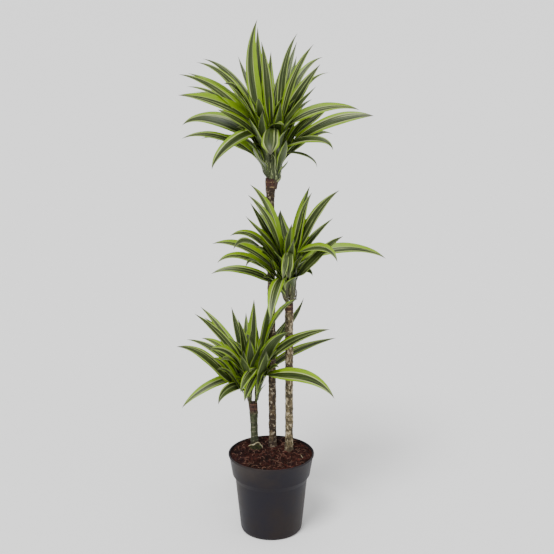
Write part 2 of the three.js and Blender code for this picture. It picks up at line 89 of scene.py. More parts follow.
def ring(sides: int) -> np.ndarray:
    """Level directions all round, one for each side."""
    angles = np.arange(sides) * TURN / sides
    return np.stack([np.cos(angles), np.sin(angles), np.zeros(sides)], 1)


def tint(code: str) -> tuple[float, ...]:
    """A colour that a shader reads, from its six-digit screen code."""
    parts = [int(code[i : i + 2], 16) / 255 for i in (0, 2, 4)]
    return (*(p / 12.92 if p <= 0.04045 else ((p + 0.055) / 1.055) ** 2.4 for p in parts), 1.0)


def put_in_scene(name: str, data: bpy.types.ID) -> bpy.types.Object:
    """Makes an object of a mesh, a light or a camera, and links it into the scene.

    Args:
        name: The object's name.
        data: What it shows.

    Returns:
        The object.
    """
    made = bpy.data.objects.new(name, data)
    bpy.context.scene.collection.objects.link(made)
    return made


class Draw:
    """A repeatable run of numbers: the same seed always gives the same plant."""

    FACTOR = 16807
    MODULUS = 2147483647

    def __init__(self, seed: int) -> None:
        """Starts the run from a whole number above 0."""
        self.state = seed

    def next(self) -> float:
        """The next number, between 0 and 1."""
        self.state = self.state * self.FACTOR % self.MODULUS
        return self.state / self.MODULUS

    def between(self, low: float, high: float) -> float:
        """The next number, between low and high."""
        return blend(low, high, self.next())


# ---- shader kit


class Signal:
    """One output of a shader node. Python's operators on it make Math nodes."""

    def __init__(self, shader: "Shader", socket: bpy.types.NodeSocket) -> None:
        """Keeps an output and the tree that it is in."""
        self.shader = shader
        self.socket = socket

    def __add__(self, other: "Number") -> "Signal":
        """self + other."""
        return self.shader.math("ADD", self, other)

    def __sub__(self, other: "Number") -> "Signal":
        """self - other."""
        return self.shader.math("SUBTRACT", self, other)

    def __rsub__(self, other: "Number") -> "Signal":
        """other - self."""
        return self.shader.math("SUBTRACT", other, self)

    def __mul__(self, other: "Number") -> "Signal":
        """self * other."""
        return self.shader.math("MULTIPLY", self, other)

    def __abs__(self) -> "Signal":
        """The distance from 0."""
        return self.shader.math("ABSOLUTE", self)

    __radd__ = __add__
    __rmul__ = __mul__

    def rise(self, low: float, high: float) -> "Signal":
        """Goes softly from 0 where self is low to 1 where self is high."""
        inputs = {"Value": self, "From Min": low, "From Max": high}
        return self.shader.signal("ShaderNodeMapRange", inputs, {"interpolation_type": "SMOOTHSTEP"})


Number = Signal | float
Colour = Signal | str
Values = Mapping[str | int, object]


class Shader:
    """The node tree of one material."""

    def __init__(self, name: str) -> None:
        """Starts an empty tree.

        Args:
            name: The material's name.
        """
        self.material = bpy.data.materials.new(name)
        self.material.use_nodes = True
        self.tree = self.material.node_tree
        self.tree.nodes.clear()

    def node(self, kind: str, inputs: Values, settings: Values | None = None) -> bpy.types.Node:
        """Makes one node.

        Args:
            kind: The node's type.
            inputs: The value, the signal or the colour code of each named or numbered socket.
            settings: The node's own properties, set first. "stops" are a ramp's stops, as
                pairs of place and colour code.

        Returns:
            The node.
        """
        made = self.tree.nodes.new(kind)
        for name, value in (settings or {}).items():
            if name == "stops":
                self._set_stops(made.color_ramp, value)
            else:
                setattr(made, name, value)
        for name, value in inputs.items():
            if isinstance(value, Signal):
                self.tree.links.new(value.socket, made.inputs[name])
            else:
                made.inputs[name].default_value = tint(value) if isinstance(value, str) else value
        return made

    @staticmethod
    def _set_stops(ramp: bpy.types.ColorRamp, stops: Sequence[tuple[float, str]]) -> None:
        """Gives a ramp its stops.

        Args:
            ramp: The ramp.
            stops: The place and the colour code of each stop.
        """
        while len(ramp.elements) < len(stops):
            ramp.elements.new(1.0)
        for element, (place, code) in zip(ramp.elements, stops, strict=True):
            element.position = place
            element.color = tint(code)

    def signal(
        self, kind: str, inputs: Values, settings: Values | None = None, output: str | int = 0
    ) -> Signal:
        """Makes one node as node does, and gives one of its outputs."""
        return Signal(self, self.node(kind, inputs, settings).outputs[output])

    def math(self, operation: str, *values: Number) -> Signal:
        """A Math node on one or two values."""
        return self.signal("ShaderNodeMath", dict(enumerate(values)), {"operation": operation})

    def mix(self, share: Number, first: Colour, second: Colour) -> Signal:
        """Two colours mixed, all first at share 0 and all second at share 1."""
        inputs = {0: share, 6: first, 7: second}
        return self.signal("ShaderNodeMix", inputs, {"data_type": "RGBA"}, 2)

    def point_value(self, name: str) -> Signal:
        """A number that the mesh keeps at its points."""
        return self.signal("ShaderNodeAttribute", {}, {"attribute_name": name}, "Fac")

    def place(self) -> Signal:
        """The point's place on the piece, in metres."""
        return self.signal("ShaderNodeTexCoord", {}, output="Object")

    def stretch(self, place: Signal, *scale: float) -> Signal:
        """A place with each direction multiplied."""
        inputs = {0: place, 1: scale}
        return self.signal("ShaderNodeVectorMath", inputs, {"operation": "MULTIPLY"})

    def join(self, *parts: Number) -> Signal:
        """A place made of three numbers."""
        return self.signal("ShaderNodeCombineXYZ", dict(enumerate(parts)))

    def speckle(
        self, place: Signal, scale: float, detail: float = 3.0, roughness: float = 0.55
    ) -> Signal:
        """Soft cloudy noise around 0.5."""
        inputs = {"Vector": place, "Scale": scale, "Detail": detail, "Roughness": roughness}
        return self.signal("ShaderNodeTexNoise", inputs)

    def bump(self, height: Signal, depth: float, strength: float) -> Signal:
        """A normal that follows a height, in metres where the height goes from 0 to 1."""
        inputs = {"Height": height, "Distance": depth, "Strength": strength}
        return self.signal("ShaderNodeBump", inputs)

    def finish(self, **inputs: object) -> bpy.types.Material:
        """Closes the tree with its surface shader.

        Args:
            inputs: The surface shader's sockets, with _ for each space.

        Returns:
            The material.
        """
        named = {name.replace("_", " "): value for name, value in inputs.items()}
        surface = self.signal("ShaderNodeBsdfPrincipled", named)
        self.node("ShaderNodeOutputMaterial", {"Surface": surface})
        return self.material


# ---- finishes


@dataclass(frozen=True)
class PlasticFinish:
    """The thin charcoal plastic of a nursery pot, with dust on its collar."""

    body: str = "1e1c23"
    warm: str = "26201f"
    dust: str = "4d4642"
    dusty_heights: Span = (0.150, 0.228)

    def make(self) -> bpy.types.Material:
        """Builds the material.

        Returns:
            The material.
        """
        s = Shader("charcoal plastic")
        place = s.place()
        cloud = s.speckle(place, 9.0, 4.0)
        grain = s.speckle(s.stretch(place, 1, 1, 0.12), 260.0)
        scuff = s.speckle(s.stretch(place, 1, 1, 3.0), 42.0, 6.0, 0.7).rise(0.60, 0.74)
        height = s.signal("ShaderNodeSeparateXYZ", {0: place}, output="Z")
        dusty = height.rise(*self.dusty_heights) * cloud.rise(0.42, 0.7)
        colour = s.mix(cloud.rise(0.35, 0.68), self.body, self.warm)
        colour = s.mix(dusty * 0.22 + scuff * 0.12, colour, self.dust)
        rough = 0.42 + cloud * 0.12 + scuff * 0.16
        normal = s.bump(grain, 0.00012, 0.35)
        return s.finish(Base_Color=colour, Roughness=rough, Normal=normal, Specular_IOR_Level=0.12)


@dataclass(frozen=True)
class SoilFinish:
    """Damp reddish-brown bark and coir, each crumb with a tone of its own."""

    dark: str = "0c0402"
    brown: str = "2a110b"
    red: str = "53281f"
    pink: str = "8e5d50"
    plum: str = "1d0f12"

    def make(self) -> bpy.types.Material:
        """Builds the material.

        Returns:
            The material.
        """
        s = Shader("coir and bark")
        place = s.place()
        patch = s.speckle(place, 34.0) * 0.6 + s.speckle(place, 13.0, 2.0) - 0.3
        clump = s.speckle(place, 110.0, 2.0)
        grain = s.speckle(place, 420.0, 5.0, 0.7)
        share = s.point_value("tone") * 0.3 + patch * 0.9 + clump + grain * 0.2 - 0.84
        stops = [(0.0, self.dark), (0.35, self.brown), (0.68, self.red), (1.0, self.pink)]
        crumbs = s.signal("ShaderNodeValToRGB", {0: share}, {"stops": stops})
        colour = s.mix(s.speckle(place, 17.0).rise(0.5, 0.64) * 0.6, crumbs, self.plum)
        normal = s.bump(grain, 0.0007, 0.8)
        rough = 0.82 + grain * 0.15
        return s.finish(Base_Color=colour, Roughness=rough, Normal=normal, Specular_IOR_Level=0.2)


@dataclass(frozen=True)
class BarkFinish:
    """The skin of a bare cane: a ground colour with lighter flakes and dark scar lines.

    Attributes:
        flakes: How widely the flakes cover the ground.
        pales: How widely the pale patches cover it.
        bands: How pale the leaf scars' bands are.
    """

    name: str
    ground: str
    flake: str
    pale: str
    scar: str
    flakes: float
    pales: float
    bands: float
    knuckle: str = "4a2c22"
    knuckle_dark: str = "231310"
    arc: str = "9c8459"
    damp: str = "2b1a13"

    def make(self) -> bpy.types.Material:
        """Builds the material.

        Returns:
            The material.
        """
        s = Shader(self.name)
        place = s.place()
        ring_part = s.point_value("ring")
        flake = s.speckle(s.stretch(place, 1.4, 1.4, 0.7), 90.0, 4.0, 0.6)
        flake = flake.rise(0.60 - self.flakes, 0.68 - self.flakes)
        pale = s.speckle(s.stretch(place, 1.0, 1.0, 0.8), 105.0, 3.0, 0.6)
        pale = pale.rise(0.66 - self.pales, 0.71 - self.pales)
        fibre = s.speckle(s.stretch(place, 1.0, 1.0, 0.08), 900.0)
        blot = s.speckle(place, 150.0, 5.0, 0.7)
        band = ring_part.rise(0.01, 0.35) * s.speckle(place, 120.0, 2.0).rise(0.46, 0.58)
        colour = s.mix(flake, self.ground, self.flake)
        colour = s.mix((pale + band * self.bands) * 0.85, colour, self.pale)
        colour = s.mix(ring_part.rise(0.5, 0.9) * blot.rise(0.35, 0.55) * 0.7, colour, self.scar)
        colour = s.mix(blot.rise(0.52, 0.66) * 0.6, colour, self.scar)
        arc = ring_part.rise(0.02, 0.4) * s.speckle(place, 75.0, 2.0).rise(0.44, 0.54)
        crown_end = s.mix(blot.rise(0.42, 0.6), self.knuckle, self.knuckle_dark)
        crown_end = s.mix(arc * 0.85, crown_end, self.arc)
        colour = s.mix(s.point_value("top"), colour, crown_end)
        colour = s.mix(s.point_value("foot") * 0.6, colour, self.damp)
        normal = s.bump(fibre * 0.4 + blot, 0.0006, 0.7)
        return s.finish(Base_Color=colour, Roughness=0.8 + blot * 0.15, Normal=normal)


@dataclass(frozen=True)
class LeafFinish:
    """A striped leaf: a dark green middle, thin cream lines and lime margins. Its sheath is
    green, papery where it is old, and brown at the shoot's root."""

    deep: str = "0f1804"
    green: str = "3c4b12"
    # The grey is the colour of the leaf's streaks and also of the painted sheen highlights along its
    # middle.
    grey: str = "5a6840"
    cream: str = "c9d68c"
    lime: str = "6c8e00"
    yellow: str = "8fae08"
    sheath: str = "262f12"
    sheath_light: str = "66733f"
    sheath_edge: str = "b4bf86"
    papery: str = "6b5b46"
    papery_dark: str = "2e2217"
    root: str = "5a3429"
    root_dark: str = "2a1612"
    under: str = "4c5a30"
    under_dark: str = "2e3a18"
    dry: str = "4c4a3c"

    def make(self) -> bpy.types.Material:
        """Builds the material.

        Returns:
            The material.
        """
        s = Shader("striped leaf")
        kept = map(s.point_value, ("across", "along", "tone", "margin", "age"))
        across, along, tone, margin, age = kept
        out = abs(across)
        strip = s.join(across + tone * 37.0, along * 0.22, tone * 11.0)
        streak = s.speckle(strip, 16.0, 4.0, 0.6)
        fine = s.speckle(strip, 60.0, 3.0, 0.6)
        patch = s.speckle(s.join(along * 2.0, tone * 51.0, across), 2.2, 2.0)
        # Painted highlight: long sheen streaks along the leaf's middle stand in for the gloss on its
        # ribs.
        painted_sheen = s.speckle(s.join(across * 0.8 + tone * 19.0, along * 0.1, tone * 7.0), 8.0, 2.0)
        edge = margin + (streak - 0.5) * 0.16
        lime_part = out.rise(edge - 0.03, edge + 0.03)
        line_part = out.rise(edge - 0.17, edge - 0.07) * (1 - lime_part)
        vein_part = 1 - abs(across - (tone - 0.5) * 0.8).rise(0.03, 0.1)

        middle = s.mix(streak.rise(0.36, 0.62), self.deep, self.green)
        middle = s.mix(fine.rise(0.55, 0.7) * 0.5, middle, self.deep)
        # The painted sheen highlights lay grey over the middle.
        middle = s.mix(painted_sheen.rise(0.53, 0.64) * 0.45, middle, self.grey)
        middle = s.mix(vein_part * streak.rise(0.4, 0.6) * 0.45, middle, self.cream)
        margins = s.mix(fine.rise(0.4, 0.7), self.lime, self.yellow)
        margins = s.mix(fine.rise(0.62, 0.74) * 0.35, margins, self.green)
        colour = s.mix(lime_part, s.mix(line_part * 0.58, middle, self.cream), margins)
        below = s.mix(streak.rise(0.38, 0.62), self.under, self.under_dark)
        below = s.mix(fine.rise(0.55, 0.7) * 0.5, below, self.grey)
        below = s.mix(lime_part * 0.75, s.mix(line_part * 0.4, below, self.cream), margins)
        colour = s.mix(s.point_value("upper"), below, colour)

        green = s.mix(streak.rise(0.42, 0.66), self.sheath, self.sheath_light)
        green = s.mix(fine.rise(0.6, 0.7) * 0.4, green, self.sheath_edge)
        green = s.mix(tone.rise(0.2, 0.9) * 0.6, green, self.sheath)
        green = s.mix(out.rise(0.56, 0.68) * 0.9, green, self.sheath_edge)
        # Painted shade: the sheath's outermost edge turns deep green, as the shade in the gaps
        # between overlapping sheaths.
        green = s.mix(out.rise(0.88, 0.97), green, self.deep)
        papery = s.mix(fine.rise(0.4, 0.62), self.papery_dark, self.papery)
        root = s.mix(fine.rise(0.4, 0.6), self.root_dark, self.root)
        sheath = s.mix(age.rise(1.0, 1.8), s.mix(age.rise(0.0, 1.0), green, papery), root)
        colour = s.mix((1 - along.rise(-0.15, 0.1)) * 0.9, colour, sheath)
        colour = s.mix(along.rise(0.86, 0.99) * 0.8, colour, self.dry)
        shade = s.point_value("shade") + patch.rise(0.55, 0.8) * 0.2
        colour = s.mix(shade, colour, self.deep)
        normal = s.bump(s.speckle(strip, 110.0, 2.0) * 0.5 + streak, 0.0005, 0.5)
        rough = 0.36 + patch * 0.18
        return s.finish(Base_Color=colour, Roughness=rough, Normal=normal, Specular_IOR_Level=0.36)


@dataclass(frozen=True)
class PlainFinish:
    """A speckled finish between two colours."""

    name: str
    first: str
    second: str
    scale: float
    rough: float
    relief: float

    def make(self) -> bpy.types.Material:
        """Builds the material.

        Returns:
            The material.
        """
        s = Shader(self.name)
        cloud = s.speckle(s.place(), self.scale, 4.0)
        colour = s.mix(cloud.rise(0.35, 0.65), self.first, self.second)
        normal = s.bump(cloud, self.relief, 0.6)
        return s.finish(Base_Color=colour, Roughness=self.rough + cloud * 0.1, Normal=normal)


# ---- meshes


def quads(grid: np.ndarray) -> np.ndarray:
    """The four corners of each face between the numbered points of a grid."""
    return np.stack([grid[:-1, :-1], grid[:-1, 1:], grid[1:, 1:], grid[1:, :-1]], -1)


class Skin:
    """The points, faces and point values of one piece while it grows, in millimetres."""

    def __init__(self, *fields: str) -> None:
        """Starts an empty skin.

        Args:
            fields: The names of the numbers that every point keeps.
        """
        self.points: list[np.ndarray] = []
        self.faces: list[list[int]] = []
        self.values: dict[str, list[np.ndarray]] = {name: [] for name in fields}
        self.count = 0

    def add(self, points: np.ndarray, faces: Iterable[Sequence[int]], **values: object) -> None:
        """Adds a closed form.

        Args:
            points: Its points, one row each.
            faces: Its faces, counted from its own first point.
            values: Each named number, for all points or for each one.
        """
        self.points.append(points)
        self.faces.extend([self.count + corner for corner in face] for face in faces)
        for name, parts in self.values.items():
            parts.append(np.broadcast_to(np.asarray(values.get(name, 0.0), float), len(points)))
        self.count += len(points)

    def add_tube(self, rings: Sequence[np.ndarray], ends: Sequence, **values: object) -> None:
        """Adds a tube that is closed by a point at each end.

        Args:
            rings: Its rings of points, each turning to the left about the tube's direction.
            ends: The point before its first ring and the point after its last one.
            values: Each named number, for all points or for each one, the ends last.
        """
        count, sides = len(rings), len(rings[0])
        start, end = count * sides, count * sides + 1
        grid = np.arange(count * sides).reshape(count, sides)
        grid = np.hstack([grid, grid[:, :1]])
        faces = quads(grid).reshape(-1, 4).tolist()
        first, last = pairwise(grid[0].tolist()), pairwise(grid[-1].tolist())
        for (low, next_low), (high, next_high) in zip(first, last):
            faces += [[start, next_low, low], [end, high, next_high]]
        self.add(np.concatenate([*rings, np.array(ends, float)]), faces, **values)

    def mesh(self, name: str) -> bpy.types.Mesh:
        """Makes the mesh.

        Args:
            name: The mesh's name.

        Returns:
            The mesh, in metres.
        """
        mesh = bpy.data.meshes.new(name)
        mesh.from_pydata((np.concatenate(self.points) * MM).tolist(), [], self.faces)
        mesh.update()
        for field, parts in self.values.items():
            layer = mesh.attributes.new(field, "FLOAT", "POINT")
            layer.data.foreach_set("value", np.concatenate(parts).astype(np.float32))
        return mesh

    def piece(
        self, name: str, finish: bpy.types.Material, node: str | None, crease: float
    ) -> bpy.types.Object:
        """Makes the Blender object.

        Args:
            name: The piece's name.
            finish: Its material.
            node: The solid that it stands for, if any.
            crease: The angle between faces, in degrees, past which an edge looks sharp.

        Returns:
            The object.
        """
        mesh = self.mesh(name)
        mesh.shade_smooth()
        mesh.set_sharp_from_angle(angle=math.radians(crease))
        mesh.materials.append(finish)
        made = put_in_scene(name, mesh)
        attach(made, "root")
        if node is not None:
            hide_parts(node)
        log.info("%s: %d faces", name, len(self.faces))
        return made


# ---- pot


@dataclass
class NurseryPot:
    """A thin moulded pot with a rolled rim, a collar, a shoulder and holes in its floor."""

    height: float = 228
    rim_radius: float = 120
    rim_height: float = 5
    collar_top_radius: float = 118
    collar_foot_radius: float = 109
    collar_height: float = 60
    shoulder_height: float = 14
    body_top_radius: float = 101
    body_foot_radius: float = 87
    base_radius: float = 80
    base_hollow: float = 1.6
    bevel_height: float = 9
    wall: float = 2.4
    sides: int = 144
    drain_radius: float = 7
    drain_ring: float = 52
    drain_count: int = 6
    drain_sides: int = 24
    drill_overshoot: float = 4

    @property
    def collar_foot(self) -> float:
        """The height of the collar's foot."""
        return self.height - self.collar_height

    @property
    def shoulder_foot(self) -> float:
        """The height of the shoulder's foot."""
        return self.collar_foot - self.shoulder_height

    def inner_radius(self, height: float) -> float:
        """The radius that the soil fills.

        Args:
            height: The height that it is wanted at.

        Returns:
            The radius.
        """
        heights = [0, self.shoulder_foot, self.collar_foot, self.height]
        body = [self.body_foot_radius, self.body_top_radius]
        collar = [self.collar_foot_radius, self.collar_top_radius]
        return float(np.interp(height, heights, body + collar)) - self.wall

    def profile(self) -> list[tuple[float, float]]:
        """The section up the outside and down the inside, with its edges rounded.

        Returns:
            The radius and the height of each point, from the base to the floor inside.
        """
        base, foot, body = self.base_radius, self.body_foot_radius, self.body_top_radius
        collar, top, rim = self.collar_foot_radius, self.collar_top_radius, self.rim_radius
        bevel, shoulder, step = self.bevel_height, self.shoulder_foot, self.collar_foot
        brim, lip, wall = self.height, self.height - self.rim_height, self.wall
        outside = [
            (base - 3, self.base_hollow), (base - 1.5, 0.2), (base, 0.0), (base + 2.8, 0.7),
            (base + 5, bevel * 0.4), (foot - 0.5, bevel - 1.5), (foot + 0.2, bevel + 1.5),
            (body - 0.2, shoulder - 2), (body + 0.9, shoulder + 0.8), (collar - 2.2, step - 1.6),
            (collar - 1.6, step - 0.3), (collar - 0.2, step - 0.2), (collar, step + 0.6),
            (top - 0.4, lip - 1.2), (top + 0.3, lip - 0.2), (rim - 0.7, lip), (rim - 0.1, lip + 0.8),
            (rim, lip + 2.4), (rim - 0.2, brim - 0.8), (rim - 0.9, brim), (top - 0.9, brim),
            (top - wall + 0.2, brim - 0.9), (top - wall, brim - 3),
        ]
        inside = [(self.inner_radius(level), level) for level in (step, shoulder, bevel + wall)]
        return [*outside, *inside, (base - wall, wall)]

    def build(self) -> None:
        """Makes the pot, with its holes cut through the floor."""
        around = ring(self.sides)
        rings = [around * radius + UP * height for radius, height in self.profile()]
        skin = Skin()
        skin.add_tube(rings, [UP * self.base_hollow, UP * self.wall])
        pot = skin.piece("nursery_pot", PlasticFinish().make(), "pot", crease=38)
        for i in range(self.drain_count):
            self._cut_drain(pot, heading(i * 360 / self.drain_count) * self.drain_ring)
        pot.data.name = "nursery_pot"

    def _cut_drain(self, pot: bpy.types.Object, centre: np.ndarray) -> None:
        """Cuts one drain hole through the floor.

        Args:
            pot: The pot.
            centre: The hole's centre.
        """
        around = ring(self.drain_sides) * self.drain_radius + centre
        ends = [UP * -self.drill_overshoot, UP * (self.wall + self.drill_overshoot)]
        skin = Skin()
        skin.add_tube([around + end for end in ends], [centre + end for end in ends])
        drill_mesh = skin.mesh("drain")
        drill = put_in_scene("drain", drill_mesh)
        cut = pot.modifiers.new("drain", "BOOLEAN")
        cut.operation = "DIFFERENCE"
        cut.object = drill
        bpy.context.view_layer.update()
        graph = bpy.context.evaluated_depsgraph_get()
        uncut = pot.data
        pot.data = bpy.data.meshes.new_from_object(pot.evaluated_get(graph))
        pot.modifiers.clear()
        bpy.data.objects.remove(drill)
        for mesh in (uncut, drill_mesh):
            bpy.data.meshes.remove(mesh)


# ---- plants


LeafRow = tuple[float, ...]


class Stripes(Enum):
    """The ways a leaf is striped. Each gives the spans, as shares of the half width, in which
    the lime margins start on the leaf's upper and lower side."""

    UPPER = ((0.16, 0.48), (0.64, 0.86))
    BROAD = ((0.44, 0.62), (0.48, 0.68))
    EVEN = ((0.58, 0.8), (0.6, 0.82))
    DARK = ((0.76, 0.92), (0.78, 0.94))


STRIPE_LETTERS = {kind.name[0]: kind for kind in Stripes}

# The shares below which a drawn leaf is striped in the first, the second or the third way.
ARCHING_SHARES = (0.5, 0.62, 0.88)
UPRIGHT_SHARES = (0.25, 0.45, 0.88)


@dataclass
class Shoot:
    """The short stem that a fan of leaves wraps.

    Attributes:
        foot: Where its straight axis starts.
        top: Where its axis ends.
        root: The place on the cane that it grows out of.
        leaves: Its leaves. A shoot with none is a short stub of old sheaths.
        stripes: The letters of its leaves' stripes, in their order.
        girth: How stout it is.
        knuckle: The share of its girth that it has at its root.
    """

    foot: Point
    top: Point
    root: Point
    leaves: list[LeafRow]
    stripes: str = ""
    girth: float = 1.0
    knuckle: float = 0.42
    foot_radius: float = 8.5
    belly_radius: float = 13
    tip_radius: float = 7
    belly_at: float = 0.4
    knuckle_span: Span = (-0.02, 0.16)
    bend_top: float = 0.2

    def axis(self, along: float) -> np.ndarray:
        """The point on the stem's axis at a share of its height."""
        foot, top, root = (np.array(point, float) for point in (self.foot, self.top, self.root))
        return foot + (top - foot) * along + (root - foot) * (1 - smooth(0, self.bend_top, along))

    def radius(self, along: float) -> float:
        """The stem's radius, which swells where the leaf sheaths wrap it.

        Args:
            along: The share of the stem's height.

        Returns:
            The radius.
        """
        belly = smooth(0, self.belly_at, along) - smooth(self.belly_at, 1, along)
        ends = blend(self.foot_radius, self.tip_radius, along)
        knuckle = blend(self.knuckle, 1, smooth(*self.knuckle_span, along))
        return self.girth * float(blend(ends, self.belly_radius, belly) * knuckle)


@dataclass
class Plant:
    """One cane with its crown.

    Attributes:
        foot: The cane's place on the soil.
        top: The centre of its cut top.
        heart: The point that its leaves spread from.
        shoots: Its two leafy shoots and, on one plant, the stub between them.
        added: How many leaves the rule adds to each shoot at the crown's back.
        neighbours: The compass angles of canes that those leaves pass.
        papery: The share of its shoots up to which old sheaths are dry.
        top_flare: How much the cane widens to its top.
    """

    name: str
    foot: Span
    top: Point
    heart: Point
    shoots: list[Shoot]
    added: int
    seed: int
    neighbours: list[float]
    papery: float
    cane_radius: float
    top_flare: float
    bark: BarkFinish


# A row is the tip of one leaf from the heart of its crown (right, back, up), the leaf's lift
# where it leaves its shoot and at its tip in degrees, its greatest width, how far its face is
# turned to the viewer in degrees, and its place on the shoot, from 0 at the foot to 1. A
# ninth number is the share of its length where it is widest, if that isn't the usual one.
SHORT_LEFT: list[LeafRow] = [
    (-155, 100, 180, 74, 26, 27, 25, 0.75),
    (-165, 0, 190, 75, 34, 29, 40, 0.8),
    (-145, 110, 145, 72, 17, 25, 15, 0.7),
    (-65, 80, 185, 79, 72, 27, 10, 0.8),
    (-45, 30, 165, 82, 66, 27, 10, 0.8),
    (-195, 90, 85, 66, -4, 27, 25, 0.55),
    (-145, -20, 125, 72, 6, 32, 45, 0.7),
    (-205, -110, 130, 32, 8, 42, 50, 0.4),
    (-120, -120, 125, 71, 0, 40, 50, 0.7),
    (-85, -150, 105, 69, 0, 29, 40, 0.65),
    (-200, -50, -70, 58, -54, 29, 45, 0.65),
    (-95, -110, -35, 54, -62, 29, 45, 0.5),
    (0, 40, 220, 82, 85, 34, 0, 0.8),
    (-25, 110, 160, 77, 75, 27, 0, 0.8),
    (5, 80, 135, 78, 80, 25, 0, 0.8),
    (-5, -20, 150, 82, 80, 27, 10, 0.75),
    (25, -60, 135, 80, 70, 27, 10, 0.7),
    (-45, -130, 125, 73, 40, 29, 35, 0.6),
    (-115, -60, 80, 38, 8, 32, 45, 0.4),
    (-100, -95, 60, 28, -2, 29, 45, 0.3),
    (-95, 20, 70, 45, 20, 32, 40, 0.45),
    (-60, -100, 100, 72, 15, 34, 40, 0.5),
    (-25, -110, 120, 74, 60, 32, 20, 0.55),
    (-85, 60, 80, 71, 40, 36, 35, 0.6),
    (-10, -60, 135, 81, 80, 36, 0, 0.75),
]
SHORT_RIGHT: list[LeafRow] = [
    (45, -50, 250, 82, 80, 34, 0, 0.8),
    (120, -115, 265, 78, 25, 42, 50, 0.8),
    (140, 90, 210, 76, 75, 29, 10, 0.8),
    (100, -90, 165, 84, 20, 40, -45, 0.45),
    (95, 75, 155, 76, 55, 21, 20, 0.8),
    (205, -130, 185, 71, 15, 38, 50, 0.7),
    (235, 120, 80, 64, 0, 32, 20, 0.55),
    (215, -195, 15, 20, -44, 40, 55, 0.7),
    (-35, -110, 0, 12, -48, 26, 30, 0.9),
    (-25, -90, -35, 5, -55, 25, 25, 0.75),
    (35, -100, 115, 74, 62, 32, 20, 0.5),
    (45, -60, 40, 68, -25, 23, 30, 0.3),
    (20, 60, 80, 76, 80, 38, 0, 0.7),
    (65, -85, 115, 74, 40, 36, 40, 0.6),
    (70, -80, 60, 68, -10, 27, 40, 0.35),
    (35, -70, 10, 52, 40, 10, 10, 0.1),
]
MIDDLE_LEFT: list[LeafRow] = [
    (-95, -20, 225, 81, 38, 35, 58, 0.8),
    (-100, -60, 205, 79, 40, 36, 60, 0.8),
    (-95, -10, 175, 79, 60, 29, 50, 0.8),
    (-80, -110, 190, 77, 53, 32, 45, 0.8),
    (-105, -110, 160, 74, 50, 34, 55, 0.75),
    (-145, -100, 105, 69, -25, 34, 50, 0.65),
    (-195, -40, 70, 65, -14, 32, 45, 0.55),
    (-135, -150, 80, 66, -50, 32, 35, 0.55),
    (-180, -90, 30, 61, -42, 29, 45, 0.45),
    (-200, -30, -15, 57, -32, 29, 45, 0.3),
    (-105, -120, 25, 61, -60, 23, 20, 0.25),
    (45, 20, 170, 82, 84, 29, 10, 0.8),
    (145, -125, 110, 38, 31, 48, 50, 0.45),
    (-10, -205, 15, 62, -80, 21, 0, 0.85, 0.75),
    (-40, -150, -110, 32, -64, 36, 0, 0.55),
    (-80, -60, 70, 60, 20, 40, 30, 0.35),
    (-40, -100, 70, 70, 30, 32, 30, 0.5),
    (-25, 40, 90, 79, 70, 36, 10, 0.6),
    (-70, -60, 95, 74, 62, 32, 40, 0.55),
    (-55, -12, 110, 79, 65, 29, 25, 0.6),
    (-65, -90, 60, 68, 20, 32, 35, 0.45),
    (-45, 60, 50, 70, 40, 29, 20, 0.55),
    (-80, -120, 80, 68, 10, 36, 45, 0.4),
    (-75, -100, 100, 58, 35, 36, 45, 0.35),
    (-60, -70, -15, 45, -20, 29, 30, 0.25),
]
MIDDLE_RIGHT: list[LeafRow] = [
    (65, 70, 205, 80, 52, 29, 30, 0.8),
    (70, 30, 195, 81, 47, 29, 40, 0.8),
    (55, 110, 175, 77, 90, 32, 0, 0.8),
    (140, -20, 210, 77, 36, 40, 48, 0.8),
    (130, 80, 115, 71, 28, 23, 20, 0.7),
    (270, 20, 15, 66, -40, 34, 45, 0.7),
    (130, -140, 45, 50, -62, 28, 45, 0.95),
    (70, -50, -15, 25, -56, 16, 45, 0.7),
    (5, -170, 10, 70, -76, 38, 0, 0.95, 0.7),
    (20, -90, 95, 74, 70, 32, 10, 0.6),
    (45, -90, 45, 67, 0, 29, 40, 0.4),
    (40, 60, 60, 72, 60, 36, 10, 0.7),
    (65, -60, 55, 69, 20, 36, 45, 0.5),
    (-15, 70, 140, 80, 80, 44, 0, 0.9),
    (15, -40, 125, 82, 80, 29, 10, 0.75),
]
